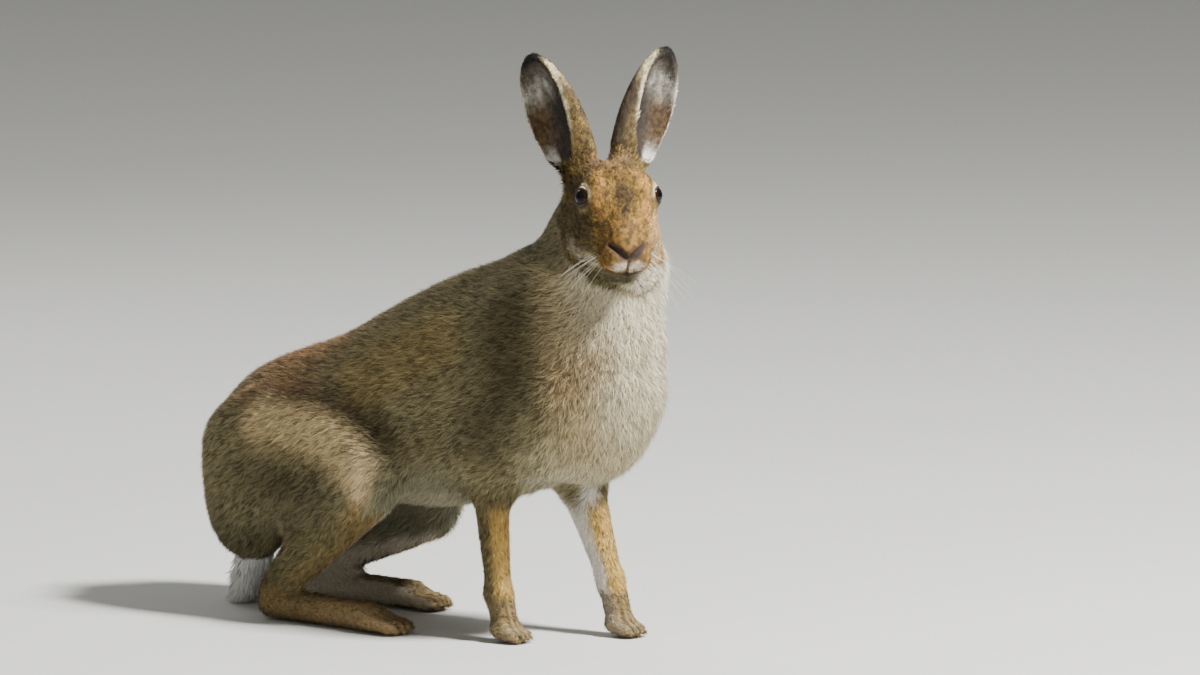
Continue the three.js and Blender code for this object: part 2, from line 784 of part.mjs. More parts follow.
function solidFromGeometry(geometry) {
  const flat = geometry.index ? geometry.toNonIndexed() : geometry;
  const position = flat.getAttribute('position');
  const found = new Map();
  const points = [];
  const corners = [];
  for (let i = 0; i < position.count; i += 1) {
    const p = [position.getX(i), position.getY(i), position.getZ(i)];
    const key = p.map((value) => Math.round(value * 1e4)).join();
    if (!found.has(key)) {
      found.set(key, points.length);
      points.push(p);
    }
    corners.push(found.get(key));
  }
  const faces = [];
  for (let i = 0; i < corners.length; i += 3) {
    const [a, b, c] = corners.slice(i, i + 3);
    if (a !== b && b !== c && c !== a) faces.push([a, b, c]);
  }
  return solidOf(points, faces);
}

// The half of space on the side of a plane that its normal points to, kept
// back from the plane by half a gap.
function halfSpace(point, normal) {
  const size = 900;
  const geometry = new THREE.BoxGeometry(size, size, size);
  geometry.translate(0, 0, size / 2 + gap / 2);
  const up = new THREE.Vector3(...normal).normalize();
  geometry.applyQuaternion(new THREE.Quaternion().setFromUnitVectors(new THREE.Vector3(0, 0, 1), up));
  geometry.translate(...point);
  return solidFromGeometry(geometry);
}

function block(low, high, grow = 0) {
  const size = low.map((value, i) => high[i] - value + 2 * grow);
  const geometry = new THREE.BoxGeometry(...size);
  geometry.translate(...low.map((value, i) => (value + high[i]) / 2));
  return solidFromGeometry(geometry);
}

function oval(centre, radii, near, far, grow = 0) {
  const steps = 40;
  const outline = [];
  for (let i = 0; i < steps; i += 1) {
    const angle = i / steps * 2 * Math.PI;
    outline.push([
      centre[0] + (radii[0] + grow) * Math.cos(angle),
      centre[1] + (radii[1] + grow) * Math.sin(angle)
    ]);
  }
  return prism(outline, near - grow, far + grow);
}

// An eyeball, or the round socket that holds one.
function ballOf(side, radius) {
  const ball = new THREE.SphereGeometry(radius, 14, 10);
  ball.rotateX(Math.PI / 2);
  ball.translate(...headPoint(...eyeCentre(side)));
  return solidFromGeometry(ball);
}

function largest(solid) {
  const bodies = solid.decompose();
  let found = bodies[0];
  for (const item of bodies) if (item.volume() > found.volume()) found = item;
  return found;
}

// Where the cuts go.
const ground = halfSpace([0, 0, -gap / 2], [0, 0, 1]);
const neckCut = [[8, 0, 288], [0.28, 0, 0.96]];
const headCut = [headPoint(-30, 0, -28), [headForward[0] * 0.848, headForward[1] * 0.848, 0.53]];
const flip = (normal) => normal.map((value) => -value);
const tailBlock = (grow) => block([-340, -17, -60], [-248, 17, 50], grow);
const legInside = 25;
const elbowHeight = 112;
const wristHeight = 35;

function acrossSide(side, inner) {
  return side < 0 ? [-140, -inner] : [inner, 140];
}

function thighPlug(leg, grow) {
  const [near, far] = acrossSide(leg.side, legInside + 2);
  const centre = [leg.haunch[0], leg.haunch[2] + 2];
  const main = oval(centre, [leg.haunchRadii[0] + 3, leg.haunchRadii[2] + 1], near, far, grow);
  return main.add(oval([-244, 84], [52, 60], near, far, grow));
}

function shoulderPlug(leg, grow) {
  const [near, far] = acrossSide(leg.side, 30);
  return oval([(leg.shoulder[0] + leg.elbow[0]) / 2 - 4, 152], [44, 52], near, far, grow);
}

function forearmBlock(leg, grow) {
  const [near, far] = acrossSide(leg.side, 22);
  const top = leg.elbow[0] + (leg.elbow[2] - elbowHeight) / forearm * (leg.wrist[0] - leg.elbow[0]);
  const outline = [[top - 30 - grow, elbowHeight + grow], [leg.wrist[0] - 40 - grow, -20],
    [leg.wrist[0] + 60 + grow, -20], [top + 36 + grow, elbowHeight + grow]];
  return prism(outline, near - grow, far + grow);
}

function shinBlock(leg, grow) {
  const [near, far] = acrossSide(leg.side, legInside);
  const slope = 0.2374;
  const [x, z] = [leg.knee[0] - 31, leg.knee[2] - 45];
  const top = (at) => z + slope * (at - x) + grow;
  const front = -40 + grow;
  const back = leg.hock[0] - 30 - grow;
  const calf = leg.hock[0] + 8 - grow;
  const outline = [[back, -20], [front, -20], [front, top(front)], [calf, top(calf)], [back, 36]];
  return prism(outline, near - grow, far + grow);
}

function footPrism(leg, grow) {
  const [near, far] = acrossSide(leg.side, 10);
  const x = leg.hock[0];
  const outline = [[x - 40, -20], [x + 175, -20], [x + 175, 27 + grow], [x + 44, 27 + grow],
    [x + 27, 20 + grow], [x - 12, 35 + grow], [x - 40, 45 + grow]];
  return prism(outline, near, far);
}

// The drawn volumes: fine where the forms are small.
const trunkVolume = volumeOf([-330, -100, -10], [130, 100, 350], 4, 4200);
const headVolume = volumeOf([0, -105, 225], [160, 75, 440], 1.6, 5400);
const foreVolume = {};
const hindVolume = {};
for (const name of Object.keys(sides)) {
  const f = fore[name];
  const front = f.knuckle[0] + 34;
  foreVolume[name] = volumeOf(
    [-48, Math.min(f.side * 14, f.side * 62), -4],
    [front, Math.max(f.side * 14, f.side * 62), 120],
    2,
    760
  );
  const h = hind[name];
  hindVolume[name] = volumeOf(
    [-345, Math.min(h.side * 14, h.side * 100), -4],
    [h.ball[0] + 50, Math.max(h.side * 14, h.side * 100), 118],
    2.4,
    1200
  );
}

// Colours: the animal's own, from the back of the coat to the claws.
const coatBrown = { color: 0x7a6445, roughness: 0.9, metalness: 0 };
const coatGold = { color: 0xc8924f, roughness: 0.88, metalness: 0 };
const coatRusset = { color: 0x9c6a35, roughness: 0.9, metalness: 0 };
const coatPale = { color: 0xc9b48c, roughness: 0.9, metalness: 0 };
const coatWhite = { color: 0xece6da, roughness: 0.92, metalness: 0 };
const eyeDark = { color: 0x1d110a, roughness: 0.08, metalness: 0 };

const hare = new THREE.Group();

// A cut leaves slivers along its edge, which are merged away before a node is
// added to the animal.
const sliverCost = 4e-4;

function addNode(name, solid, finish) {
  const mesh = largest(solid).getMesh();
  const points = [];
  const faces = [];
  for (let i = 0; i < mesh.vertProperties.length; i += mesh.numProp) {
    points.push([...mesh.vertProperties.subarray(i, i + 3)]);
  }
  for (let i = 0; i < mesh.triVerts.length; i += 3) faces.push([...mesh.triVerts.subarray(i, i + 3)]);
  const clean = simplify({ points, faces }, 4, sliverCost);
  const geometry = new THREE.BufferGeometry();
  geometry.setAttribute('position', new THREE.Float32BufferAttribute(clean.points.flat(), 3));
  geometry.setIndex(clean.faces.flat());
  const node = new THREE.Mesh(geometry, new THREE.MeshStandardMaterial(finish));
  node.name = name;
  hare.add(node);
}

function cutAll(solid, tools) {
  return tools.reduce((left, tool) => left.subtract(tool), solid);
}

const bothLegs = (make, legs) => Object.keys(sides).map((name) => make(legs[name], gap));

addNode('torso', cutAll(
  trunkVolume.intersect(halfSpace(neckCut[0], flip(neckCut[1]))).intersect(ground),
  [
    ...bothLegs(thighPlug, hind),
    ...bothLegs(shinBlock, hind),
    ...bothLegs(shoulderPlug, fore),
    ...bothLegs(forearmBlock, fore),
    tailBlock(gap)
  ]
), coatBrown);
addNode('neck', trunkVolume.intersect(halfSpace(...neckCut))
  .intersect(halfSpace(headCut[0], flip(headCut[1]))), coatBrown);
addNode('tail', trunkVolume.intersect(tailBlock(0)).intersect(ground), coatWhite);

const headSolid = headVolume.intersect(halfSpace(...headCut)).intersect(halfSpace(...neckCut))
  .subtract(ballOf(-1, eyeRadius + gap * 1.5))
  .subtract(ballOf(1, eyeRadius + gap * 1.5));
const earCuts = {};
for (const name of Object.keys(sides)) {
  const frame = earFrame(name);
  const root = new THREE.Vector3(...frame.root).addScaledVector(frame.up, 6);
  const point = headPoint(root.x, root.y, root.z);
  const tip = headPoint(...[0, 1, 2].map((i) => root.getComponent(i) + frame.up.getComponent(i)));
  earCuts[name] = [point, [0, 1, 2].map((i) => tip[i] - point[i])];
}
const besideHead = (name) => {
  const side = sides[name];
  return halfSpace(headPoint(0, side * gap, 0), headLeft.map((value) => value * side));
};
addNode('head', cutAll(headSolid, Object.keys(sides).map((name) => {
  const [point, normal] = earCuts[name];
  const grown = point.map((value, i) => value - normal[i] * gap);
  return halfSpace(grown, normal).intersect(besideHead(name));
})), coatGold);
for (const name of Object.keys(sides)) {
  addNode(`ear_${name}`, headSolid.intersect(halfSpace(...earCuts[name]))
    .intersect(besideHead(name)), coatBrown);
}

for (const [name, side] of Object.entries(sides)) {
  addNode(`eye_${name}`, ballOf(side, eyeRadius), eyeDark);
}

for (const name of Object.keys(sides)) {
  const f = fore[name];
  addNode(`upper_arm_${name}`, trunkVolume.intersect(shoulderPlug(f, 0))
    .intersect(halfSpace([0, 0, elbowHeight], [0, 0, 1])), coatBrown);
  const lowerFore = foreVolume[name].intersect(forearmBlock(f, -gap)).intersect(ground);
  addNode(`forearm_${name}`, lowerFore.intersect(halfSpace([0, 0, wristHeight], [0, 0, 1])), coatGold);
  addNode(`forepaw_${name}`, lowerFore.intersect(halfSpace([0, 0, wristHeight], [0, 0, -1])), coatPale);
  const h = hind[name];
  addNode(`thigh_${name}`, trunkVolume.intersect(thighPlug(h, 0)).subtract(shinBlock(h, gap)), coatBrown);
  const lowerHind = hindVolume[name].intersect(shinBlock(h, 0)).intersect(ground);
  addNode(`shin_${name}`, lowerHind.subtract(footPrism(h, gap)), coatRusset);
  addNode(`hind_foot_${name}`, lowerHind.intersect(footPrism(h, 0)), coatRusset);
}

// The origin goes to the middle of the box's footprint, on the ground.
const box = new THREE.Box3().setFromObject(hare);
const middle = box.getCenter(new THREE.Vector3());
hare.position.set(-middle.x, -middle.y, -box.min.z);
hare.updateMatrixWorld(true);

export default hare;
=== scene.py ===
import math

import bpy
import numpy as np
from mathutils import Matrix, Vector
from mathutils.bvhtree import BVHTree


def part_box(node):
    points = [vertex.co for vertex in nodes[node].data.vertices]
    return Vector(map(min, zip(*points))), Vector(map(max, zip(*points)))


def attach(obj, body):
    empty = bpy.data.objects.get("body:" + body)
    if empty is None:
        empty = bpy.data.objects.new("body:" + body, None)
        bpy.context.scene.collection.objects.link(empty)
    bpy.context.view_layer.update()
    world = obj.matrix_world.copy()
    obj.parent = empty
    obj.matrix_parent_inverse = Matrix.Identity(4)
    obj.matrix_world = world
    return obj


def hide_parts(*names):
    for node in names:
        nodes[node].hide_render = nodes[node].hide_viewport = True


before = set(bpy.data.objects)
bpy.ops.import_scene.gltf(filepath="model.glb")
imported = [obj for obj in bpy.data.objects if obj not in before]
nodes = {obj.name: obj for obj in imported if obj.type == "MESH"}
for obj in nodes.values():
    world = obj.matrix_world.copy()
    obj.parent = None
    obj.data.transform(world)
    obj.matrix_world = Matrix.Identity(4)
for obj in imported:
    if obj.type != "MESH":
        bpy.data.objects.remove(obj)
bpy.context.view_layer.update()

# The view: a long lens eight metres off, 38 degrees round towards the hare's
# right front and 7 degrees above level, as in the photograph. The whole hare
# stands left of the middle of the frame.
azimuth = math.radians(38)
elevation = math.radians(7)
camera_right = Vector((math.cos(azimuth), math.sin(azimuth), 0))
camera_back = Vector((
    math.sin(azimuth) * math.cos(elevation),
    -math.cos(azimuth) * math.cos(elevation),
    math.sin(elevation),
))
camera_up = camera_back.cross(camera_right)
camera_distance = 8.0
view_width = 0.876
sensor_width = 36
aim_right, aim_up, aim_back = 0.1133, 0.2119, 0.05
aim = aim_right * camera_right + aim_up * camera_up + aim_back * camera_back
camera_data = bpy.data.cameras.new("camera")
camera_data.sensor_width = sensor_width
camera_data.lens = sensor_width * camera_distance / view_width
camera = bpy.data.objects.new("camera", camera_data)
bpy.context.scene.collection.objects.link(camera)
camera_axes = Matrix((camera_right, camera_up, camera_back)).transposed()
camera.matrix_world = Matrix.Translation(aim + camera_back * camera_distance) @ camera_axes.to_4x4()
bpy.context.scene.camera = camera


# The studio: a pale matt floor that runs to a pale world, a sun-like key light
# high on the camera's right and a wide, weak fill on its left.
def colour(code):
    """A colour given as sRGB hex, turned to linear."""
    parts = np.array([int(code[i:i + 2], 16) for i in (1, 3, 5)]) / 255
    return np.where(parts <= 0.04045, parts / 12.92, ((parts + 0.055) / 1.055) ** 2.4)


def add_node(tree, kind, links=(), **settings):
    """Adds a node: links are (own input, other node's output), settings are its own or its inputs'."""
    node = tree.nodes.new(kind)
    for key, value in settings.items():
        if hasattr(node, key):
            setattr(node, key, value)
        else:
            node.inputs[key.replace("_", " ")].default_value = value
    for own, output in links:
        tree.links.new(output, node.inputs[own])
    return node


def new_material(name):
    """A new material with its node tree and its shader."""
    material = bpy.data.materials.new(name)
    material.use_nodes = True
    return material, material.node_tree, material.node_tree.nodes["Principled BSDF"]


# Matt paint, so that the floor takes the hare's shadow and gives no shine.
floor_paint, tree, shader = new_material("matt_studio_floor")
shader.inputs["Base Color"].default_value = (*colour("#c9c8c2"), 1)
shader.inputs["Roughness"].default_value = 0.9
bpy.ops.mesh.primitive_plane_add(size=40, location=(0, 0, 0))
floor = bpy.context.active_object
floor.name = "floor"
floor.data.materials.append(floor_paint)

world = bpy.data.worlds.new("studio")
bpy.context.scene.world = world
world.use_nodes = True
world.node_tree.nodes["Background"].inputs["Color"].default_value = (*colour("#e6e7e4"), 1)
world.node_tree.nodes["Background"].inputs["Strength"].default_value = 0.33
lit_height = 0.2


def add_light(name, size, power, right, up, back):
    """An area light, placed from the camera's own directions and turned to the hare."""
    lamp = bpy.data.lights.new(name, "AREA")
    lamp.size = size
    lamp.energy = power
    light = bpy.data.objects.new(name, lamp)
    bpy.context.scene.collection.objects.link(light)
    target = Vector((0, 0, lit_height))
    place = target + right * camera_right + Vector((0, 0, up)) + back * camera_back
    turn = (place - target).to_track_quat("Z", "Y").to_matrix().to_4x4()
    light.matrix_world = Matrix.Translation(place) @ turn


add_light("key", 0.5, 350, 1.8, 2.2, 1.15)
add_light("fill", 2.4, 6, -2.0, 0.8, 1.6)
add_light("rim", 1.2, 14, -0.8, 1.6, -1.8)

# The skin: one closed surface for all the flesh. Copies of the body's parts are
# grown until they meet, fused, rounded, and sunk by the depth of the coat.
mm = 0.001
bridged_gap = 0.35 * mm
skin_grain = 1.25 * mm
kept_share = 0.42


def select_only(*objects):
    """Selects these objects and nothing else, with the first one active."""
    bpy.ops.object.select_all(action="DESELECT")
    for item in objects:
        item.select_set(True)
    bpy.context.view_layer.objects.active = objects[0]


def apply_modifier(obj, kind, **settings):
    """Adds a modifier with these settings and applies it."""
    modifier = obj.modifiers.new(kind.lower(), kind)
    for key, value in settings.items():
        setattr(modifier, key, value)
    select_only(obj)
    bpy.ops.object.modifier_apply(modifier=modifier.name)


def read(items, key, width, kind=np.float64):
    """One value of every item, such as its place, as rows of an array."""
    values = np.empty(len(items) * width, kind)
    items.foreach_get(key, values)
    return values.reshape(-1, width)


def smooth_step(values, low, high):
    """0 below low and 1 above high, with a soft rise between."""
    t = np.clip((values - low) / (high - low), 0, 1)
    return t * t * (3 - 2 * t)


def fade(values, low, high):
    """1 below low and 0 above high, with a soft fall between."""
    return 1 - smooth_step(values, low, high)


flesh = sorted(name for name in nodes if not name.startswith("eye_"))
copies = []
for name in flesh:
    part = bpy.data.objects.new("flesh_" + name, nodes[name].data.copy())
    bpy.context.scene.collection.objects.link(part)
    copies.append(part)
select_only(*copies)
bpy.ops.object.join()
skin = bpy.context.active_object
skin.name = "skin"
skin.data.name = "skin"
skin.data.materials.clear()
bpy.ops.object.mode_set(mode="EDIT")
bpy.ops.mesh.select_all(action="SELECT")
bpy.ops.mesh.remove_doubles(threshold=0.01 * mm)
bpy.ops.object.mode_set(mode="OBJECT")
apply_modifier(skin, "DISPLACE", strength=bridged_gap, mid_level=0)
apply_modifier(skin, "REMESH", mode="VOXEL", voxel_size=skin_grain)

eye_boxes = {side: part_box("eye_" + side) for side in ("right", "left")}
eye_centres = {side: (low + high) / 2 for side, (low, high) in eye_boxes.items()}
eye_radius = (eye_boxes["right"][1].z - eye_boxes["right"][0].z) / 2
between_eyes = (eye_centres["right"] + eye_centres["left"]) / 2
head_left = (eye_centres["left"] - eye_centres["right"]).normalized()
head_up = Vector((0, 0, 1))
head_forward = head_left.cross(head_up)
head_axes = np.array([head_forward, head_left, head_up])


def in_head(points):
    """Points in the head's own frame: forward, left and up from between the eyes."""
    return (points - np.array(between_eyes)) @ head_axes.T


# The body takes fewer points than the head and the feet.
points = read(skin.data.vertices, "co", 3)
plain = smooth_step(np.linalg.norm(points - np.array(between_eyes), axis=1), 0.13, 0.16)
plain *= smooth_step(points[:, 2], 0.03, 0.05)
group = skin.vertex_groups.new(name="plain")
levels = 4
for level in range(1, levels + 1):
    chosen = np.nonzero(np.ceil(plain * levels) == level)[0]
    group.add(chosen.tolist(), level / levels, "REPLACE")
apply_modifier(skin, "DECIMATE", ratio=kept_share, vertex_group="plain")
skin.vertex_groups.clear()
apply_modifier(skin, "TRIANGULATE")

points = read(skin.data.vertices, "co", 3)
faces = read(skin.data.polygons, "vertices", 3, np.int32)
edges = read(skin.data.edges, "vertices", 2, np.int32)
degree = np.bincount(edges.ravel(), minlength=len(points))


def spread(values, rounds, share=0.5):
    """Values at the skin's points, evened out between neighbours."""
    values = np.asarray(values, float)
    flat = values.reshape(len(values), -1).copy()
    for _ in range(rounds):
        for column in flat.T:
            total = np.bincount(edges[:, 0], column[edges[:, 1]], len(points))
            total += np.bincount(edges[:, 1], column[edges[:, 0]], len(points))
            column += share * (total / degree - column)
    return flat.reshape(values.shape)


def normals_of(points):
    """The way out of the skin at each of its points."""
    corners = points[faces]
    across = np.cross(corners[:, 1] - corners[:, 0], corners[:, 2] - corners[:, 0])
    total = np.stack([
        sum(np.bincount(faces[:, c], across[:, axis], len(points)) for c in range(3))
        for axis in range(3)
    ], axis=1)
    return total / np.maximum(np.linalg.norm(total, axis=1, keepdims=True), 1e-12)


# Each round evens the surface out and swells it again by as much.
for _ in range(6):
    points = spread(points, 1, 0.6)
    points = spread(points, 1, -0.62)

# What each point of the skin belongs to, from the part of the body nearest it.
wall_points = []
wall_faces = []
wall_owner = []
for index, name in enumerate(flesh):
    mesh = nodes[name].data
    start = len(wall_points)
    wall_points += [tuple(v.co) for v in mesh.vertices]
    wall_faces += [[start + v for v in polygon.vertices] for polygon in mesh.polygons]
    wall_owner += [index] * len(mesh.polygons)
walls = BVHTree.FromPolygons(wall_points, wall_faces)
owner = np.array([wall_owner[walls.find_nearest(p)[2]] for p in points])


def belongs(*starts):
    """1 where the nearest part's name starts with one of these words, else 0."""
    wanted = [i for i, name in enumerate(flesh) if name.startswith(starts)]
    return np.isin(owner, wanted).astype(float)


# Depth of the coat over the skin, and length of its hair, in millimetres.
coat_sizes = {
    "torso": (5.0, 10.5),
    "neck": (5.0, 9.5),
    "tail": (7, 18),
    "head": (1.8, 5.0),
    "ear": (0.9, 4.0),
    "upper_arm": (4.5, 11),
    "forearm": (1.9, 6.5),
    "forepaw": (1.4, 5),
    "thigh": (4.6, 9.5),
    "shin": (2.6, 8),
    "hind_foot": (1.7, 6),
}
depth = np.zeros(len(points))
length = np.zeros(len(points))
for name, (deep, long) in coat_sizes.items():
    depth += belongs(name) * deep
    length += belongs(name) * long
depth = spread(depth, 10)
length = spread(length, 10)
place = in_head(points)
face_front = smooth_step(place[:, 0], -12 * mm, 12 * mm) * belongs("head")
eye_distance = np.min([
    np.linalg.norm(points - np.array(eye_centres[side]), axis=1) for side in eye_centres
], axis=0)
near_eye = fade(eye_distance, 9 * mm, 18 * mm)
depth *= 1 - 0.35 * face_front
length *= 1 - 0.3 * face_front
depth *= 1 - 0.4 * near_eye
length *= 1 - 0.45 * near_eye
nose_middle = np.array([31, 0, -34]) * mm
nose_distance = np.linalg.norm(place - nose_middle, axis=1)
near_nose = fade(nose_distance, 8 * mm, 24 * mm)
depth *= 1 - 0.6 * near_nose
length *= 1 - 0.55 * near_nose
normals = normals_of(points)
nape = belongs("neck") * smooth_step(points[:, 2], 0.285, 0.325)
depth *= 1 - 0.5 * nape
length *= 1 - 0.5 * nape
chest = smooth_step(points[:, 0], 0.11, 0.17) * belongs("torso", "neck", "upper_arm")
chest = spread(chest, 6)
length += 0.5 * chest
depth += 1.2 * chest
points = points - spread(normals, 2) * (depth * mm)[:, None]
floor_clearance = 0.4 * mm
points[:, 2] = np.maximum(points[:, 2], floor_clearance)
normals = normals_of(points)
skin.data.vertices.foreach_set("co", points.ravel())
skin.data.update()
for polygon in skin.data.polygons:
    polygon.use_smooth = True


# The lie of the coat: the way the hairs point at each place, evened out. It
# runs back from the nose and down the body, and along each leg to the toes.
def unit(vectors):
    """The same directions, one long."""
    return vectors / np.maximum(np.linalg.norm(vectors, axis=-1, keepdims=True), 1e-9)


lie = np.zeros_like(points)
lie += belongs("torso", "upper_arm")[:, None] * np.array([-1, 0, -0.45])
lie += belongs("thigh")[:, None] * np.array([-0.75, 0, -0.8])
lie += belongs("neck")[:, None] * np.array([-0.8, 0, -0.75])
lie += belongs("tail")[:, None] * np.array([-0.35, 0, -1])
lie += belongs("forearm")[:, None] * np.array([0.05, 0, -1])
lie += belongs("forepaw")[:, None] * np.array([0.9, 0, -0.5])
lie += belongs("shin")[:, None] * np.array([-0.8, 0, -0.7])
lie += belongs("hind_foot")[:, None] * np.array([1, 0, -0.15])
lie[:, 2] -= 0.9 * chest
lie[:, 0] += 0.7 * chest
belly = belongs("torso") * smooth_step(-normals[:, 2], 0.1, 0.7)
lie[:, 2] -= 0.5 * belly
parting_of_coat = np.array([37, 0, -34]) * mm
from_nose = place - parting_of_coat
from_nose[:, 2] += 0.25 * np.abs(from_nose[:, 0])
lie += belongs("head")[:, None] * (unit(from_nose) @ head_axes)

# The frame of each ear: its root, its opening, the way to its outer edge and
# the way up, in the head's frame, and each point's place in it.
ear_lines = {
    "right": (-1, (-45, -21, 16.8), (-55, -50.6, 91.8), 52),
    "left": (1, (-45, 17.5, 19.4), (-55, 49, 102.4), 34),
}
ears = {}
for side, (way, root, tip, turn) in ear_lines.items():
    root, tip = np.array(root) * mm, np.array(tip) * mm
    ear_up = unit(tip - root)
    turn = math.radians(turn)
    opening = np.array([math.cos(turn), way * math.sin(turn), 0])
    opening = unit(opening - opening @ ear_up * ear_up)
    outward = np.cross(ear_up, opening) * way
    local = (place - root) @ np.array([opening, outward, ear_up]).T
    ears[side] = local
    lie += belongs("ear_" + side)[:, None] * (ear_up @ head_axes)
lie = spread(lie, 14)
lie = unit(lie - (lie * normals).sum(axis=1, keepdims=True) * normals)


def speckle(places, size, seed):
    """Smooth random values from 0 to 1 at these places, which change over about this size."""
    lattice = np.random.default_rng(seed).random((48, 48, 48))
    scaled = places / size
    cell = np.floor(scaled).astype(int)
    share = scaled - cell
    share = share * share * (3 - 2 * share)
    total = np.zeros(len(places))
    for corner in np.ndindex(2, 2, 2):
        weight = np.prod(np.where(np.array(corner) == 1, share, 1 - share), axis=1)
        total += weight * lattice[tuple(((cell + corner) % 48).T)]
    return total


# The markings, shared by the skin and the coat. Each mark is a colour laid over
# the last where its mask says so. Those of the body are in metres.
x, y, z = points.T
forward, aside, above = place.T
out = np.abs(aside)


def bump_at(values, centre, reach):
    """1 at the centre, falling away on both sides of it."""
    return np.exp(-((values - centre) / reach) ** 2)


def far_from(stops, local, scale=mm):
    """Distance of points from a line through the given stops."""
    stops = np.array(stops) * scale
    near = np.full(len(local), np.inf)
    for a, b in zip(stops[:-1], stops[1:]):
        along = np.clip((local - a) @ (b - a) / ((b - a) @ (b - a)), 0, 1)
        near = np.minimum(near, np.linalg.norm(local - a - along[:, None] * (b - a), axis=1))
    return near


def along_line(stops, local, near, far, scale=mm):
    """1 within near of a line through the given stops, and 0 beyond far."""
    return fade(far_from(stops, local, scale), near, far)


paint = np.tile(colour("#8c8260"), (len(points), 1))
grizzle = np.ones(len(points))


def mark(code, mask, plain=None):
    """Lays a colour over the coat where mask is 1; plain is the grizzle left there."""
    global paint, grizzle
    mask = np.clip(mask, 0, 1)
    paint = paint + (colour(code) - paint) * mask[:, None]
    if plain is not None:
        grizzle = grizzle + (plain - grizzle) * mask


trunk = belongs("torso", "neck", "upper_arm", "thigh")
torso = spread(belongs("torso", "upper_arm"), 5)
haunch = spread(belongs("thigh", "shin"), 8)
body = spread(trunk, 3)
half = np.stack([x, -np.abs(y), z], axis=1)

# Back and flanks: russet on the rump, gold along the upper flank, and painted shade
# behind the shoulder and in the crease over the haunch.
on_back = smooth_step(normals[:, 2], 0.45, 0.95) * trunk
mark("#94865c", on_back * 0.6)
mark("#b07c4a", on_back * bump_at(x, -0.115, 0.062) * 0.75)
gold = along_line([(-0.04, -0.05, 0.188), (0.035, -0.045, 0.222)], half, 0.008, 0.038, 1)
mark("#a08c58", body * gold * 0.65)
# Painted shade behind the shoulder.
shade_line = [(0.1, -0.05, 0.232), (0.104, -0.055, 0.2), (0.09, -0.055, 0.16)]
mark("#4b412b", torso * along_line(shade_line, half, 0.004, 0.055, 1) * 0.7)
mark("#51462f", torso * bump_at(z, 0.142, 0.022) * bump_at(x, 0.01, 0.06) * 0.5)
# Painted shade in the crease where the haunch meets the flank.
shaded_crease_line = [(-0.13, -0.045, 0.172), (-0.065, -0.053, 0.171), (-0.01, -0.057, 0.15)]
mark("#463a28", body * along_line(shaded_crease_line, half, 0.006, 0.02, 1) * 0.65)

# Haunch: painted sunlight along the thigh bone, pale at the knee, dark below and behind.
sunlit_ridge_line = [(-0.12, -0.06, 0.152), (-0.055, -0.067, 0.145), (-0.022, -0.07, 0.122)]
# Painted sunlight along the top of the thigh.
mark("#e8cc98", haunch * along_line(sunlit_ridge_line, half, 0.006, 0.027, 1) * 0.92, 0.7)
mark("#443b28", haunch * bump_at(x, -0.1, 0.06) * bump_at(z, 0.105, 0.025) * 0.8)
mark("#454130", haunch * fade(z, 0.06, 0.1) * 0.75)
knee = along_line([(-0.02, -0.072, 0.125), (-0.01, -0.068, 0.1)], half, 0.006, 0.022, 1)
mark("#e8cca0", haunch * knee * 0.9, 0.5)
tan_line = [(-0.018, -0.064, 0.09), (-0.045, -0.055, 0.06), (-0.085, -0.054, 0.03)]
mark("#a8824a", haunch * along_line(tan_line, half, 0.005, 0.02, 1) * 0.8, 0.7)

# Front and underside: cream on chest and throat, grey-white under the belly and
# inside the thighs, with a golden patch at the side of the chest. The belly band
# and the underside are greyed further with painted shade.
front = spread(belongs("torso", "neck", "upper_arm"), 4)
edge = x + 0.25 * (z - 0.2) - 0.2 * np.maximum(-y - 0.03, 0)
mark("#c0ad84", front * smooth_step(edge, 0.118, 0.15), 0.6)
mark("#e2d4b2", front * smooth_step(edge, 0.14, 0.175), 0.4)
mark("#fbe9c8", front * smooth_step(edge, 0.172, 0.2) * 0.8, 0.15)
patch = along_line([(0.166, -0.04, 0.215), (0.156, -0.047, 0.2)], half, 0.004, 0.032, 1)
mark("#a3865a", front * patch * 0.6, 0.9)
streaks = along_line([(0.16, -0.035, 0.185), (0.14, -0.045, 0.15)], half, 0.004, 0.018, 1)
mark("#b8a67e", front * streaks * 0.4, 0.7)
throat = front * smooth_step(z, 0.235, 0.262) * smooth_step(x, 0.145, 0.175)
mark("#fff0d0", throat * 0.85, 0.05)
neck = spread(belongs("neck"), 4)
mark("#6a644a", neck * fade(x, 0.125, 0.165) * 0.85)
# The belly band, greyed with painted shade under the body.
belly_line = 0.121 + 0.006 * np.sin(x * 70) - 0.35 * np.maximum(x - 0.045, 0)
shaded_low_side = torso * fade(z, belly_line - 0.018, belly_line + 0.014)
mark("#7f7b63", shaded_low_side * fade(x, 0.062, 0.085), 0.4)
breast = front * smooth_step(x, 0.1, 0.14) * fade(z, 0.12, 0.17)
mark("#cfc3a0", breast * 0.8, 0.5)
# Painted shade on the underside of the body.
mark("#aaa287", torso * smooth_step(-normals[:, 2], 0.6, 0.95), 0.4)
inner_thigh = haunch * smooth_step(-np.sign(y) * normals[:, 1], 0.2, 0.7)
mark("#e6dfd0", inner_thigh, 0.1)
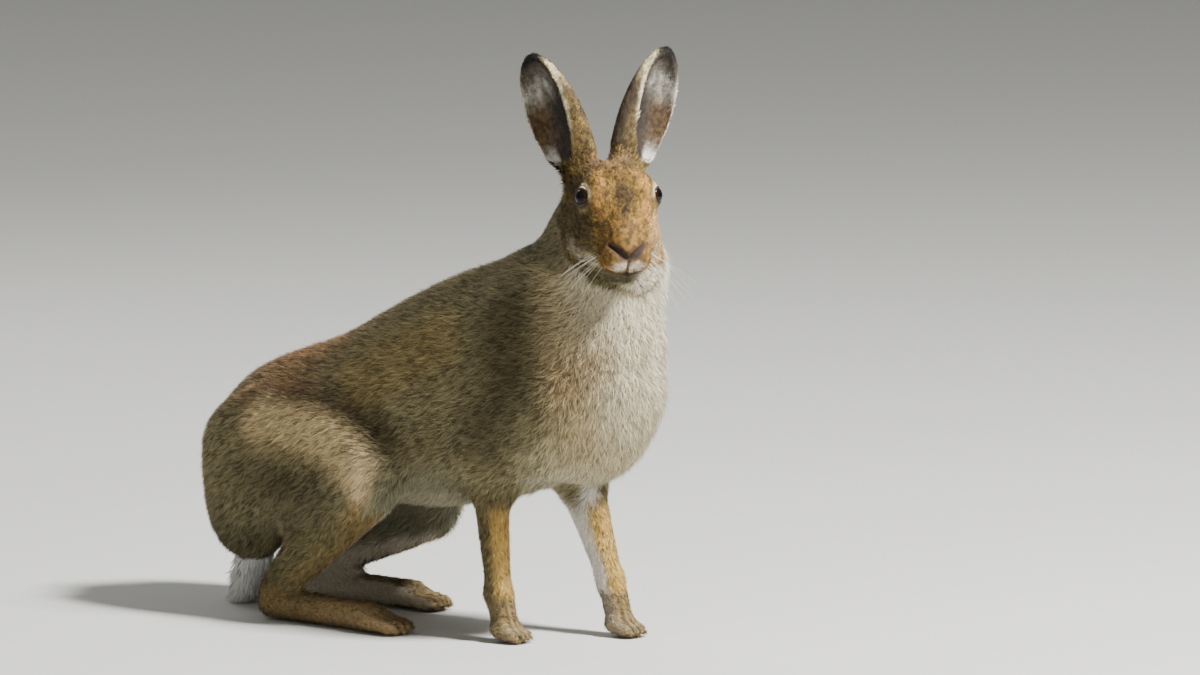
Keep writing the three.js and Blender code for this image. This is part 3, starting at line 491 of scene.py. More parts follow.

# Legs and tail: pale inside, golden in front and olive behind, with painted shade
# in the gaps between the toes, which also sink the skin. The tail is white all over.
for side, way in (("right", -1), ("left", 1)):
    fore = spread(belongs("forearm_" + side, "forepaw_" + side), 4)
    mark("#6c6040", fore, 0.9)
    mark("#efe8da", fore * smooth_step(-way * normals[:, 1], 0.3, 0.75), 0.1)
    mark("#c9a45a", fore * smooth_step(normals[:, 0], 0.1, 0.6) * fade(z, 0.09, 0.105), 0.6)
    paw = spread(belongs("forepaw_" + side), 4)
    mark("#83714f", paw * 0.8, 0.9)
    mark("#a08c68", paw * fade(z, 0.006, 0.02) * 0.5, 0.7)
    hind = spread(belongs("shin_" + side, "hind_foot_" + side), 4)
    mark("#756b46", hind * smooth_step(way * normals[:, 1], -0.2, 0.5) * 0.75, 0.9)
    mark("#dccfb8", hind * smooth_step(-way * normals[:, 1], 0.3, 0.8), 0.1)
    foot = spread(belongs("hind_foot_" + side), 4)
    mark("#8a7248", foot * fade(-way * normals[:, 1], 0.3, 0.8) * 0.8, 1)
    mark("#ab8f64", foot * smooth_step(x, -0.1, 0.0) * 0.7, 0.8)
toe_steps = {"forepaw": 5.6, "hind_foot": 7}
toe_gaps = np.zeros(len(points))
facing = smooth_step(normals[:, 2] + normals[:, 0], 0, 0.4)
for name, toe_step in toe_steps.items():
    for side in ("right", "left"):
        own = belongs(name + "_" + side)
        tip = x[own > 0].max()
        toes = own * smooth_step(x, tip - 20 * mm, tip - 13 * mm) * facing
        middle = (y[toes > 0.9].min() + y[toes > 0.9].max()) / 2
        gap = np.min([np.abs(y - middle - step * toe_step * mm) for step in (-1, 0, 1)], axis=0)
        toe_gaps += toes * fade(gap, 0.3 * mm, 1.9 * mm)
# Painted shade between the toes.
mark("#3d2f1e", toe_gaps * 0.8, 0.6)
mark("#f5f3ee", spread(belongs("tail"), 3), 0)

# Head: golden from brow to nose with a dark blaze on the forehead, olive on the
# hare's right cheek, darkened by painted shade, and sandy on its left, lightened
# by painted sunlight; dark under the mouth, partly painted shade, and a painted
# shadow of the ear on the temple.
head = spread(belongs("head"), 2)
profile = np.stack([forward, out, above], axis=1)
face = np.stack([out, above], axis=1)
mark("#6b572e", head, 1)
brow_gold = smooth_step(forward, -22 * mm, 4 * mm) * fade(out, 20 * mm, 27 * mm)
mark("#775b22", head * brow_gold, 1.2)
bridge = smooth_step(forward, 12 * mm, 26 * mm) * fade(out, 13 * mm, 20 * mm)
mark("#7d5c22", head * bridge, 1.5)
brow_light = along_line([(15, 16), (19, 2), (17, -12)], face, 1 * mm, 6 * mm)
mark("#b08041", head * brow_gold * brow_light * 0.7, 0.8)
blaze = out / 12.5 + np.abs(above - 4 * mm) / (13 + 11 * (above < 4 * mm))
mark("#3c2b12", head * brow_gold * fade(blaze, 0.3 * mm, 1.3 * mm) * 0.85, 1.5)
mark("#80603e", head * bump_at(above, 24 * mm, 7 * mm) * fade(out, 12 * mm, 20 * mm) * 0.6)
cheek = head * smooth_step(out, 16 * mm, 24 * mm) * fade(above, -18 * mm, -4 * mm)
# Painted shade on the hare's right cheek, painted sunlight on its left.
mark("#57492a", cheek * smooth_step(-aside, 14 * mm, 20 * mm) * 0.75, 1)
mark("#bd9560", cheek * smooth_step(aside, 14 * mm, 20 * mm) * 0.75, 0.7)
jaw = along_line([(-14, 30, -34), (2, 24, -45), (14, 14, -53)], profile, 3 * mm, 10 * mm)
mark("#b9ae93", head * jaw * 0.5, 0.5)
# The chin is dark olive; the darker band just under the lip is painted shade.
mark("#5c563a", head * fade(above, -56 * mm, -49 * mm) * 0.85, 0.9)
mark("#3f3a24", head * bump_at(above, -57.5 * mm, 4.5 * mm) * smooth_step(forward, 0, 14 * mm) * 0.9, 0.6)
mark("#78714f", head * fade(above, -64 * mm, -59 * mm), 0.6)
lit_jaw = fade(above, -57 * mm, -48 * mm) * smooth_step(aside, 4 * mm, 16 * mm)
lit_throat = fade(above, -66 * mm, -60 * mm) * smooth_step(aside, -2 * mm, 12 * mm)
lit_jaw = np.maximum(lit_jaw, lit_throat)
mark("#d9ceb6", head * lit_jaw * 0.85, 0.4)
# Painted shadow of the ear on the temple, behind the eye.
ear_shadow_on_temple = along_line([(-44, 32, 16), (-40, 29, 6), (-24, 27, 0)], profile, 3 * mm, 10 * mm)
mark("#463a26", head * ear_shadow_on_temple * 0.7, 0.8)

# Round each eye: a pale crescent above and in front, a fine pale line below and
# a dark margin behind.
for side in ("right", "left"):
    from_eye = place - in_head(np.array([eye_centres[side]]))
    reach = np.linalg.norm(from_eye, axis=1)
    before = smooth_step((0.55 * from_eye[:, 0] + 0.83 * from_eye[:, 2]) / reach, 0.3, 0.75)
    under = smooth_step(-from_eye[:, 2] / reach, 0.6, 0.9)
    mark("#4a3824", head * fade(reach, 9.5 * mm, 13 * mm) * 0.6, 0.4)
    mark("#e0c898", head * bump_at(reach, 10.2 * mm, 1.3 * mm) * before * 0.85, 0.2)
    mark("#b5a27a", head * bump_at(reach, 11.6 * mm, 0.9 * mm) * under * 0.5, 0.2)
    mark("#2a1c12", head * fade(reach, 9.2 * mm, 9.9 * mm) * (1 - before), 0)

# The nose is furred and golden between two dark slits that slope down to the
# cleft of a white upper lip, each slit in a brown wedge that is partly nostril and
# partly painted shade under the nose's overhang; the mouth is a dark line that
# rises at its ends.
ahead = head * smooth_step(forward, 8 * mm, 14 * mm)
nostril = far_from([(0, -41), (5, -38.2), (9, -35), (13.5, -31.6)], face)
nostril_width = (1.0 + 1.9 * bump_at(out, 5.5 * mm, 5 * mm)) * mm
cleft = far_from([(0, -41), (0, -53.6)], face)
mouth = far_from([(0, -53.4), (6.5, -53), (12.5, -52.2), (18, -50.6)], face)
lip = np.hypot((out - 5.5 * mm) / 7.2, (above + 47.2 * mm) / 4.6) / mm
mark("#f6e2c2", ahead * fade(lip, 0.3, 1.35) * 0.9, 0.5)
mark("#8f6830", ahead * bump_at(out, 15.5 * mm, 3.5 * mm) * bump_at(above, -43 * mm, 6 * mm) * 0.8, 0.9)
# The brown wedge round each slit: partly nostril, partly painted shade under the nose's overhang.
mark("#55381f", ahead * fade(nostril, nostril_width, nostril_width + 2.4 * mm) * 0.85, 0.3)
slit = ahead * fade(nostril, nostril_width - 1.3 * mm, nostril_width + 0.5 * mm)
mark("#2d1c12", slit * 0.95, 0)
parting = ahead * fade(cleft, 0.3 * mm, 1.5 * mm)
mark("#3f2c20", parting * 0.9, 0)
smile = ahead * fade(mouth, 0.3 * mm, 1.7 * mm)
mark("#43341f", smile * 0.7, 0.1)
deepest = 1.6
sunk = np.clip(1.5 * slit + 0.9 * parting + 0.8 * smile, 0, deepest) + toe_gaps
points = points - normals * (sunk * mm)[:, None]
skin.data.vertices.foreach_set("co", points.ravel())
skin.data.update()
bare = np.maximum(slit, 0.8 * parting)

# The ears: a hollow cup in front, egg-shaped and leaning outwards, dark along
# its inner side and brown at the foot, with a pale patch near the tip. Its rim
# is cream, its foot has a white lobe and its tip is black. In millimetres.
ear_height = 93
cup_lean = math.radians(10)
cup_over, cup_wide, cup_high = 9, 4.2, 37.4
cup_depth, cup_breadth, cup_length = 16.5, 18.3, 47.9
# How far each ear is dark from its back towards its opening; on the left ear it reaches further, as painted
# shade on the side turned from the light.
dark_and_shaded_sides = {"right": -9, "left": 4}
for side, local in ears.items():
    over, wide, high = local.T / mm
    height = high / ear_height
    on_ear = spread(belongs("ear_" + side), 1)
    beside, beyond = wide - cup_wide, high - cup_high
    down = beside * math.cos(cup_lean) + beyond * math.sin(cup_lean)
    along = beyond * math.cos(cup_lean) - beside * math.sin(cup_lean)
    cup = np.sqrt(
        ((over - cup_over) / cup_depth) ** 2 + (down / cup_breadth) ** 2 + (along / cup_length) ** 2)
    inside = on_ear * fade(cup, 1.02, 1.1)
    medial = smooth_step(-wide, 1, 7)
    strands = speckle(local * np.array([1, 1, 0.2]), 1.7 * mm, 5)
    mark("#6c5636", on_ear, 1.2)
    mark("#6a552a", on_ear * smooth_step(over, -8, -1) * fade(height, 0.6, 0.85) * 0.85, 1.6)
    mark("#bba67c", on_ear * (1 - medial) * smooth_step(wide, 8, 18) * smooth_step(over, -8, -2) * 0.8, 0.6)
    mark("#3a2e1d", on_ear * fade(over, dark_and_shaded_sides[side], dark_and_shaded_sides[side] + 6) * 0.92, 1)
    cream = medial * bump_at(cup, 1.14, 0.08) * smooth_step(height, 0.15, 0.5)
    mark("#e6d8b4", on_ear * cream * 0.85, 0.6)
    pale_edge = medial * smooth_step(height, 0.55, 0.78) * smooth_step(over, -6, 1)
    mark("#d9c798", on_ear * pale_edge * 0.75, 0.7)
    mark("#40352a", inside, 0.8)
    mark("#1b1712", inside * smooth_step(-down, -7, 5) * bump_at(height, 0.42, 0.26) * 0.85, 0.6)
    mark("#6a5030", inside * smooth_step(down, 2, 12) * fade(height, 0.5, 0.7) * 0.8, 1.2)
    patch = smooth_step(down, -9, 7) * bump_at(along, 27 - 0.5 * down, 9)
    mark("#b9b4a8", inside * patch * (0.4 + 0.6 * strands), 0.7)
    rim = on_ear * smooth_step(cup, 1.02, 1.08) * smooth_step(wide, 14, 19) * smooth_step(over, -7, -2)
    mark("#efe4c8", rim, 0.1)
    lobe = smooth_step(wide, 13, 16.5) * bump_at(high, 6, 9)
    mark("#f6f1e6", on_ear * lobe * 1.4, 0)
    mark("#14100d", on_ear * smooth_step(high + 0.16 * wide, 78, 83), 0)
    paint *= (1 + 0.5 * on_ear * (strands - 0.5))[:, None]

# Broad clouds of light and dark over the whole coat, and fine flecks on the
# face and ears, where the hairs are shortest.
large = speckle(points, 24 * mm, 1) + 0.6 * speckle(points, 10 * mm, 2)
paint *= (1 + 0.26 * np.minimum(grizzle, 1) * (large / 1.6 - 0.5))[:, None]
flecks = smooth_step(speckle(points, 2.3 * mm, 3), 0.25, 0.75) - 0.5
paint *= (1 + 0.75 * spread(belongs("head", "ear"), 2) * np.minimum(grizzle, 1.5) * flecks)[:, None]


# The hide under the coat: the coat's own colours, darkened as painted shade, so
# that the gaps between the tufts read as depth. The grain of its short close hair,
# about one a millimetre, is a bump that shows where the tufts lie thin. It has no
# shine.
def put_attribute(mesh, name, colours):
    """Gives each point of the mesh its own colour, under this name."""
    layer = mesh.attributes.new(name, "FLOAT_COLOR", "POINT")
    rgba = np.ones((len(colours), 4), np.float32)
    rgba[:, :3] = colours
    layer.data.foreach_set("color", rgba.ravel())


put_attribute(skin.data, "hair", np.clip(paint * 0.7, 0, 1))
hide, tree, shader = new_material("furred_hide")
object_place = add_node(tree, "ShaderNodeTexCoord")
hair_colour = add_node(tree, "ShaderNodeAttribute", attribute_name="hair")
grain = add_node(tree, "ShaderNodeTexNoise", [
    ("Vector", object_place.outputs["Object"])], Scale=0.9 / mm, Detail=3)
shade = add_node(tree, "ShaderNodeMapRange", [("Value", grain.outputs["Fac"])], To_Min=0.75, To_Max=1.2)
tone = add_node(tree, "ShaderNodeVectorMath", [
    (0, hair_colour.outputs["Color"]), (1, shade.outputs["Result"])], operation="MULTIPLY")
tree.links.new(tone.outputs["Vector"], shader.inputs["Base Color"])
relief = add_node(tree, "ShaderNodeBump", [("Height", grain.outputs["Fac"])], Strength=0.5, Distance=0.0006)
tree.links.new(relief.outputs["Normal"], shader.inputs["Normal"])
shader.inputs["Roughness"].default_value = 0.85
skin.data.materials.append(hide)
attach(skin, "root")
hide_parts(*flesh)

# The eyes: wet balls with a dark brown iris round a wide pupil and a slightly
# raised cornea, whose film of water gives one sharp light. The lids are furred
# bands round them with a bare dark margin.
gaze_forward, gaze_aside, gaze_up = 0.47, 0.87, 0.14
cornea_edge = 0.6
cornea_rise = 0.05
iris_reach = 8 * mm

# Stops of colour from the middle of the pupil out to the iris's reach.
iris_colours = [(0.0, "#050404"), (0.5, "#060504"), (0.6, "#1b0f08"), (0.8, "#26150b"), (0.92, "#0d0805")]

# Angles from the eye's own axis, in degrees: the bare margin of the lids, how
# much nearer it comes above and below, and the outer edge of the band.
lid_margin = 55
lid_narrowing = 18
lid_edge = 68
margin_width = 14
for side, way in (("right", -1), ("left", 1)):
    centre = eye_centres[side]
    gaze = np.array([gaze_forward, way * gaze_aside, gaze_up])
    axis = Vector(tuple(gaze @ head_axes)).normalized()
    turn = axis.to_track_quat("Z", "Y")
    bpy.ops.object.select_all(action="DESELECT")
    bpy.ops.mesh.primitive_uv_sphere_add(segments=48, ring_count=32, radius=eye_radius)
    eye = bpy.context.active_object
    eye.name = "eyeball_" + side
    for vertex in eye.data.vertices:
        lift = max(vertex.co.normalized().z - cornea_edge, 0) / (1 - cornea_edge)
        vertex.co *= 1 + cornea_rise * lift * lift * (3 - 2 * lift)
    bpy.ops.object.shade_smooth()
    eye.data.transform(Matrix.Translation(centre) @ turn.to_matrix().to_4x4())
    wet, tree, shader = new_material("wet_eye_" + side)
    object_place = add_node(tree, "ShaderNodeTexCoord")
    inward = turn.inverted().to_euler()
    moved = add_node(tree, "ShaderNodeVectorMath", [
        (0, object_place.outputs["Object"])], operation="SUBTRACT")
    moved.inputs[1].default_value = centre
    turned = add_node(tree, "ShaderNodeMapping", [("Vector", moved.outputs["Vector"])], Rotation=inward)
    split = add_node(tree, "ShaderNodeSeparateXYZ", [("Vector", turned.outputs["Vector"])])
    across = add_node(tree, "ShaderNodeCombineXYZ", [
        ("X", split.outputs["X"]), ("Y", split.outputs["Y"])])
    radius = add_node(tree, "ShaderNodeVectorMath", [(0, across.outputs["Vector"])], operation="LENGTH")
    ramp = add_node(tree, "ShaderNodeValToRGB")
    reach = add_node(tree, "ShaderNodeMapRange", [("Value", radius.outputs["Value"])], From_Max=iris_reach)
    tree.links.new(reach.outputs["Result"], ramp.inputs["Fac"])
    while len(ramp.color_ramp.elements) < len(iris_colours):
        ramp.color_ramp.elements.new(0.5)
    for element, (at, code) in zip(ramp.color_ramp.elements, iris_colours):
        element.position = at
        element.color = (*colour(code), 1)
    tree.links.new(ramp.outputs["Color"], shader.inputs["Base Color"])
    shader.inputs["Roughness"].default_value = 0.09
    shader.inputs["IOR"].default_value = 1.34
    shader.inputs["Specular IOR Level"].default_value = 0.35
    eye.data.materials.append(wet)
    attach(eye, "root")
    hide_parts("eye_" + side)

    bpy.ops.object.select_all(action="DESELECT")
    bpy.ops.mesh.primitive_torus_add(
        major_segments=72, minor_segments=16, major_radius=1, minor_radius=0.1)
    rim = bpy.context.active_object
    rim.name = "lids_" + side
    margin = []
    for vertex in rim.data.vertices:
        around = math.atan2(vertex.co.y, vertex.co.x)
        flat = math.hypot(vertex.co.x, vertex.co.y) - 1
        roll = math.atan2(vertex.co.z, flat)
        upright = abs(math.sin(around)) ** 1.5
        inner = lid_margin - lid_narrowing * upright
        bend = inner + (lid_edge - inner) * (1 + math.cos(roll)) / 2
        far = eye_radius + (0.3 + 0.6 * math.sin(roll)) * mm
        margin.append((bend - inner) / margin_width)
        bend = math.radians(bend)
        vertex.co = far * Vector((
            math.sin(bend) * math.cos(around), math.sin(bend) * math.sin(around), math.cos(bend)))
    bpy.ops.object.shade_smooth()
    rim.data.transform(Matrix.Translation(centre) @ turn.to_matrix().to_4x4())
    offset = unit(in_head(read(rim.data.vertices, "co", 3)) - in_head(np.array([centre])))
    before = smooth_step(0.55 * offset[:, 0] + 0.83 * offset[:, 2], 0.35, 0.8)[:, None]
    dark_fur, pale_fur, bare_margin = colour("#4a3720"), colour("#dcc594"), colour("#1c120c")
    fur = dark_fur + (pale_fur - dark_fur) * before
    open_edge = smooth_step(np.array(margin), 0.7, 1.1)[:, None]
    put_attribute(rim.data, "hair", bare_margin * (1 - open_edge) + fur * open_edge)
    lid_hide, tree, shader = new_material("lid_hide_" + side)
    object_place = add_node(tree, "ShaderNodeTexCoord")
    hair_colour = add_node(tree, "ShaderNodeAttribute", attribute_name="hair")
    pores = add_node(tree, "ShaderNodeTexNoise", [
        ("Vector", object_place.outputs["Object"])], Scale=1.8 / mm, Detail=2)
    relief = add_node(tree, "ShaderNodeBump", [
        ("Height", pores.outputs["Fac"])], Strength=0.5, Distance=0.0005)
    tree.links.new(relief.outputs["Normal"], shader.inputs["Normal"])
    tree.links.new(hair_colour.outputs["Color"], shader.inputs["Base Color"])
    shader.inputs["Roughness"].default_value = 0.6
    rim.data.materials.append(lid_hide)
    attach(rim, "root")


# The coat: tufts of hair, slim three-sided spikes rooted in the skin, each ticked
# dark or pale as a whole. Dry hair is dull, with a faint sheen, and its colour
# changes a little from strand to strand, about one and a half to a millimetre.
guard_hair, tree, shader = new_material("guard_hair")
hair_colour = add_node(tree, "ShaderNodeAttribute", attribute_name="hair")
object_place = add_node(tree, "ShaderNodeTexCoord")
strand = add_node(tree, "ShaderNodeTexNoise", [
    ("Vector", object_place.outputs["Object"])], Scale=1.4 / mm, Detail=2)
shade = add_node(tree, "ShaderNodeMapRange", [("Value", strand.outputs["Fac"])], To_Min=0.8, To_Max=1.2)
tone = add_node(tree, "ShaderNodeVectorMath", [
    (0, hair_colour.outputs["Color"]), (1, shade.outputs["Result"])], operation="MULTIPLY")
tree.links.new(tone.outputs["Vector"], shader.inputs["Base Color"])
shader.inputs["Roughness"].default_value = 0.85
shader.inputs["Sheen Weight"].default_value = 0.02
shader.inputs["Sheen Roughness"].default_value = 0.4
shader.inputs["Specular IOR Level"].default_value = 0.2

dark_tick = colour("#2c2418")
root_depth = 0.5 * mm
patch_half = 1.5 * mm
tick_size = 1.5 * mm


def unwrap(chosen):
    """Places on a flat unwrap of these faces of the skin, for each of their corners."""
    used, corners = np.unique(faces[chosen], return_inverse=True)
    mesh = bpy.data.meshes.new("unwrap")
    mesh.from_pydata(points[used].tolist(), [], corners.reshape(-1, 3).tolist())
    item = bpy.data.objects.new("unwrap", mesh)
    bpy.context.scene.collection.objects.link(item)
    select_only(item)
    bpy.ops.object.mode_set(mode="EDIT")
    bpy.ops.mesh.select_all(action="SELECT")
    bpy.ops.uv.smart_project(angle_limit=math.radians(70), island_margin=0.004)
    bpy.ops.object.mode_set(mode="OBJECT")
    flat = read(mesh.uv_layers.active.uv, "vector", 2).reshape(-1, 3, 2)
    bpy.data.objects.remove(item)
    return flat


def spiky_mesh(name, rows, colours, soft, homes):
    """One mesh of many tufts: rows holds the points of each, homes its place on the unwrap."""
    count, size = rows.shape[:2]
    wall = [[2, 1, 0]]
    for a, b in ((0, 1), (1, 2), (2, 0)):
        for row in range(0, size - 4, 3):
            wall += [[row + a, row + b, row + b + 3], [row + a, row + b + 3, row + a + 3]]
        wall.append([size - 4 + a, size - 4 + b, size - 1])
    corners = (np.arange(count)[:, None, None] * size + np.array(wall)).reshape(-1)
    mesh = bpy.data.meshes.new(name)
    mesh.vertices.add(count * size)
    mesh.vertices.foreach_set("co", rows.reshape(-1))
    mesh.loops.add(len(corners))
    mesh.loops.foreach_set("vertex_index", corners.astype(np.int32))
    mesh.polygons.add(len(corners) // 3)
    mesh.polygons.foreach_set("loop_start", np.arange(0, len(corners), 3, dtype=np.int32))
    mesh.update(calc_edges=True)
    mesh.polygons.foreach_set("use_smooth", np.ones(len(corners) // 3, bool))
    put_attribute(mesh, "hair", colours.reshape(-1, 3))
    patch = np.array([[-1, -1], [1, -1], [0, -1], [-1, 0], [1, 0], [0, 0], [0, 1]])
    if size == 4:
        patch = patch[[0, 1, 2, 6]]
    flat = (homes[:, None, :] + patch_half * patch).reshape(-1, 2)[corners]
    layer = mesh.uv_layers.new(name="OFBake")
    layer.uv.foreach_set("vector", flat.astype(np.float32).ravel())
    mesh.normals_split_custom_set_from_vertices(np.repeat(soft, size, axis=0))
    item = bpy.data.objects.new(name, mesh)
    bpy.context.scene.collection.objects.link(item)
    return item


face_owner = owner[faces[:, 0]]
face_middle = points[faces].mean(axis=1)
face_area = np.linalg.norm(np.cross(
    points[faces[:, 1]] - points[faces[:, 0]], points[faces[:, 2]] - points[faces[:, 0]]), axis=1) / 2
sole = smooth_step(-normals[:, 2], 0.6, 0.9) * fade(z, 1.5 * mm, 3 * mm)
growth = np.clip(1 - bare - sole - fade(eye_distance, 9.0 * mm, 9.4 * mm), 0, 1)
face_growth = growth[faces].min(axis=1)


def grow(
    name, seed, count, width, chosen, rough=0.2, stray=0.34,
    bent=False, longer=1.0, raised=1.0, favour=None,
):
    """Grows tufts on the chosen faces of the skin, as one piece of the coat.

    The width is in millimetres. Rough spreads the tufts' shading and stray their lie.
    Longer and raised change their length and height, and favour says where they are many.
    """
    chosen = np.nonzero(chosen)[0]
    draw = np.random.default_rng(seed)
    weight = face_area[chosen] * face_growth[chosen]
    if favour is not None:
        weight *= favour[faces[chosen]].mean(axis=1)
    pick = draw.choice(len(chosen), count, p=weight / weight.sum())
    share = draw.random((count, 2))
    folded = share.sum(axis=1) > 1
    share[folded] = 1 - share[folded]
    share = np.column_stack([1 - share.sum(axis=1), share])
    corners = faces[chosen[pick]]

    def at(values):
        values = values[corners]
        return (values * share.reshape(count, 3, *[1] * (values.ndim - 2))).sum(axis=1)

    up = unit(at(normals))
    along = at(lie)
    along = unit(along - (along * up).sum(axis=1, keepdims=True) * up)
    root = at(points)
    swirl = (speckle(root, 7 * mm, seed + 50) - 0.5)[:, None]
    along = unit(along + np.cross(up, along) * (draw.normal(0, stray, (count, 1)) + 1.1 * swirl))
    beside = np.cross(up, along)
    size = at(length) * longer * mm * draw.uniform(0.65, 1.15, count)
    tall = np.maximum(at(depth), 0.9) * raised * mm
    lift = np.arcsin(np.clip(tall / size, 0.08, 0.8)) * draw.uniform(0.55, 1.05, count)
    root = root - up * root_depth

    def toward(angle):
        return np.cos(angle)[:, None] * along + np.sin(angle)[:, None] * up

    roll = draw.normal(0, 0.5, (count, 1))
    side = np.cos(roll) * beside + np.sin(roll) * up
    ridge = np.cross(along, side)
    broad = width * mm * draw.uniform(0.7, 1.3, (count, 1)) / 2
    if bent:
        middle = root + size[:, None] / 2 * toward(lift * 1.35)
        tip = middle + size[:, None] / 2 * toward(lift * 0.65)
        rows = np.stack([
            root + side * broad * 0.7, root - side * broad * 0.7, root - ridge * broad * 0.5,
            middle + side * broad, middle - side * broad, middle - ridge * broad * 0.6, tip,
        ], axis=1)
    else:
        tip = root + size[:, None] * toward(lift)
        rows = np.stack([root + side * broad, root - side * broad, root - ridge * broad * 0.6, tip], axis=1)
    rows[:, :, 2] = np.maximum(rows[:, :, 2], 0.3 * mm)
    own = at(paint) * draw.normal(1, 0.08, (count, 1))
    ticked = at(grizzle)
    showing = root + 0.75 * size[:, None] * toward(lift)
    chance = speckle(showing, tick_size, seed + 90) + draw.normal(0, 0.1, count)
    chance = chance.argsort().argsort() / count
    dark = (chance < 0.32 * ticked)[:, None]
    pale = (chance > 1 - 0.3 * ticked)[:, None]
    end = np.where(dark, own * 0.3 + 0.25 * dark_tick, np.where(pale, own * 1.6, own * 1.08))
    mid = np.where(dark, own * 0.6 + 0.1 * dark_tick, np.where(pale, own * 1.25, own))
    # Each tuft is darker at its root, partly the dark base of its hair and partly painted shade deep in the
    # coat.
    low = own * np.where(dark, 0.36, np.where(pale, 1.0, 0.82 - 0.2 * ticked[:, None]))
    colours = [low, low, low, end]
    if bent:
        colours = [low, low, low, mid, mid, mid, end]
    soft = unit(up + 0.35 * toward(lift) + draw.normal(0, rough, (count, 3)))
    flat = unwrap(chosen)
    homes = (flat[pick] * share[:, :, None]).sum(axis=1)
    piece = spiky_mesh(name, rows, np.clip(np.stack(colours, axis=1), 0, 1), soft, homes)
    piece.data.materials.append(guard_hair)
    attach(piece, "root")


def faces_of(*starts):
    """Which faces of the skin lie on the parts whose names start so."""
    wanted = [i for i, name in enumerate(flesh) if name.startswith(starts)]
    return np.isin(face_owner, wanted)


on_trunk = faces_of("torso", "upper_arm")
in_front = face_middle[:, 0] > 0.085
on_right = face_middle[:, 1] < 0
grow("coat_chest", 11, 49000, 0.7, on_trunk & in_front, stray=0.55)
grow("coat_flank_right", 12, 49000, 0.75, on_trunk & ~in_front & on_right)
grow("coat_flank_left", 13, 46000, 0.75, on_trunk & ~in_front & ~on_right)
grow("coat_haunch_right", 14, 34000, 0.75, faces_of("thigh_right"))
grow("coat_haunch_left", 15, 30000, 0.75, faces_of("thigh_left"))
grow("coat_neck", 16, 24000, 0.7, faces_of("neck"))
grow("coat_head", 17, 45000, 0.7, faces_of("head"), rough=0.3)
grow("coat_ears", 18, 32000, 0.65, faces_of("ear"), rough=0.3)
grow("coat_forelegs", 19, 22000, 0.6, faces_of("forearm", "forepaw"), stray=0.4, rough=0.3)
grow("coat_hind_legs", 20, 22000, 0.7, faces_of("shin", "hind_foot"), stray=0.4, rough=0.3)
grow("coat_tail", 21, 2500, 0.9, faces_of("tail"), bent=True)

# A few longer hairs stand out of the coat, most on the chest and the belly.
fringe = 0.25 + chest + belly
grow("coat_wisps", 22, 7000, 0.4, faces_of("torso", "neck", "upper_arm", "thigh"),
     bent=True, longer=1.35, raised=1.35, favour=fringe)

# Claws at the tips of the toes, and whiskers from the upper lip: tapered rods
# along a bent line. Claws are dark horn, worn to a dull polish, and whiskers are
# stiff pale hairs that catch the light.
horn, tree, shader = new_material("dark_horn")
shader.inputs["Base Color"].default_value = (*colour("#3b2f28"), 1)
shader.inputs["Roughness"].default_value = 0.4
bristle, tree, shader = new_material("pale_bristle")
shader.inputs["Base Color"].default_value = (*colour("#e8e4da"), 1)
shader.inputs["Roughness"].default_value = 0.45


def tapered(lines, radii, sides):
    """Points and faces of closed rods along lines of places, thick as radii say, with pointed ends."""
    places = []
    walls = []
    for line, radius in zip(lines, radii):
        first = len(places)
        line = np.asarray(line)
        ahead = unit(np.gradient(line, axis=0))
        beside = unit(np.cross(ahead, (0.13, 0.21, 0.97)))
        over = np.cross(ahead, beside)
        thickness = np.linspace(radius, 0.25 * radius, len(line))
        for at, near, far, thick in zip(line[:-1], beside, over, thickness):
            for i in range(sides):
                angle = 2 * math.pi * i / sides
                places.append(tuple(at + thick * (math.cos(angle) * near + math.sin(angle) * far)))
        places.append(tuple(line[-1]))
        for row in range(len(line) - 2):
            for i in range(sides):
                a, b = first + row * sides + i, first + row * sides + (i + 1) % sides
                walls.append((a, b, b + sides, a + sides))
        last = len(places) - 1
        for i in range(sides):
            walls.append((last - sides + i, last - sides + (i + 1) % sides, last))
        walls.append(tuple(first + sides - 1 - i for i in range(sides)))
    return places, walls


def rods(name, material, lines, radii, sides):
    """One piece of the model made of tapered rods."""
    places, walls = tapered(lines, radii, sides)
    mesh = bpy.data.meshes.new(name)
    mesh.from_pydata(places, [], walls)
    item = bpy.data.objects.new(name, mesh)
    bpy.context.scene.collection.objects.link(item)
    select_only(item)
    bpy.ops.object.mode_set(mode="EDIT")
    bpy.ops.mesh.select_all(action="SELECT")
    bpy.ops.mesh.normals_make_consistent(inside=False)
    bpy.ops.object.mode_set(mode="OBJECT")
    bpy.ops.object.shade_smooth()
    mesh.materials.append(material)
    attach(item, "root")


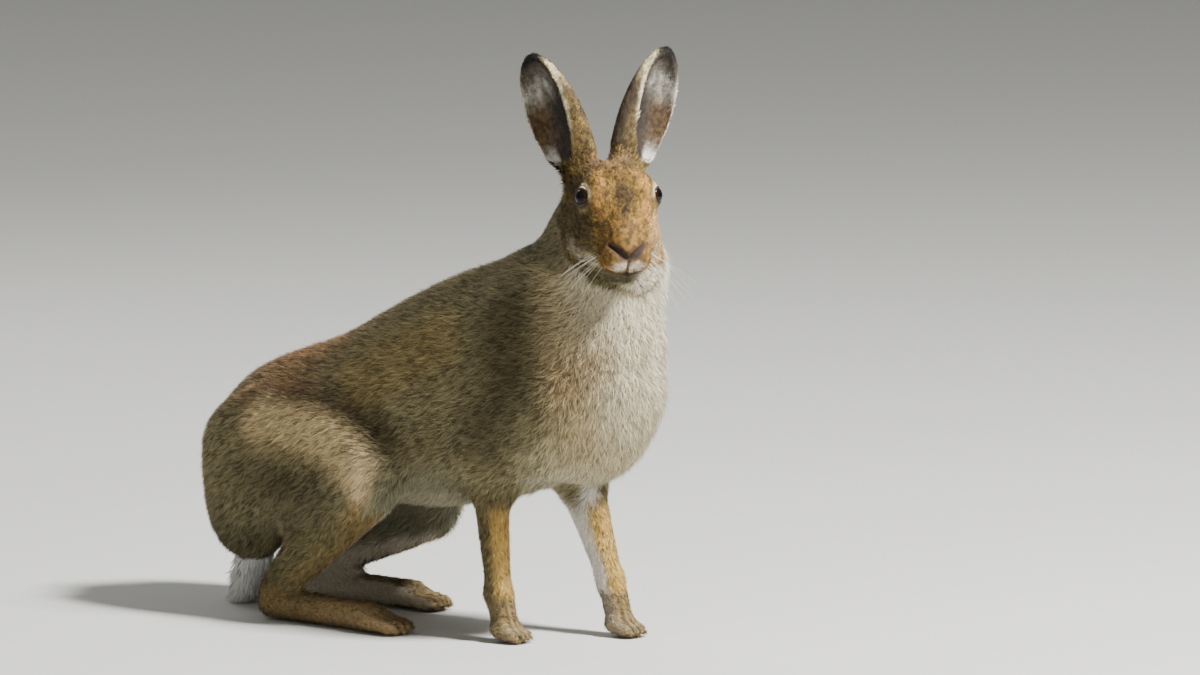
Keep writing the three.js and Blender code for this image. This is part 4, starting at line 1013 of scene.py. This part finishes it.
# Each claw starts inside the tip of its toe, furthest back on the outer toes.
claw_reach = 11.5
claw_radius = 1.25
claw_splay = {"forepaw": 0.06, "hind_foot": 0.05}
claw_set_back = {"forepaw": 1.5, "hind_foot": 1.8}
claw_lines = []
for name, toe_step in toe_steps.items():
    for side in ("right", "left"):
        corners = np.array([tuple(v.co) for v in nodes[name + "_" + side].data.vertices])
        tips = corners[corners[:, 0] > corners[:, 0].max() - 12 * mm]
        middle = (tips[:, 1].min() + tips[:, 1].max()) / 2
        for toe in range(4):
            sideways = (toe - 1.5) * toe_step
            back = 0.45 * abs(sideways) + claw_set_back[name]
            start = np.array([corners[:, 0].max() / mm - 11 - back, middle / mm + sideways, 5.6])
            line = []
            for t in np.linspace(0, 1, 7):
                drop = 1.2 * math.sin(2.4 * t) - 4.4 * t * t
                away = claw_splay[name] * sideways * t
                line.append((start + np.array([claw_reach * t, away, drop])) * mm)
            claw_lines.append(line)
rods("claws", horn, claw_lines, [claw_radius * mm] * len(claw_lines), 8)

# Three rows of three whiskers on each side, drooping under their own weight, the
# left ones longer, in millimetres.
whisker_radius = 0.1
whisker_length = 33
draw = np.random.default_rng(31)
lip_walls = BVHTree.FromPolygons(points.tolist(), faces.tolist())
whisker_lines = []
for way in (-1, 1):
    for row in range(3):
        for column in range(3):
            base = np.array([20 - 5 * column, way * (14.5 + 1.6 * column), -40 - 3 * row + column])
            near = Vector(tuple(base * mm @ head_axes)) + between_eyes
            root = np.array(lip_walls.find_nearest(near)[0])
            aim_to = np.array([
                -0.1 - 0.2 * column + draw.normal(0, 0.1), way, -0.5 - 0.3 * row + draw.normal(0, 0.12)])
            aim_to = unit(aim_to) @ head_axes
            sag = np.array([0, 0, -1]) * (0.12 + 0.12 * draw.random())
            reach = (whisker_length + 5 * way + 4 * column + 8 * draw.random()) * mm
            whisker_lines.append([
                root + reach * (t * aim_to + t * t * sag) for t in np.linspace(-0.03, 1, 9)
            ])
rods("whiskers", bristle, whisker_lines, [whisker_radius * mm] * len(whisker_lines), 4)
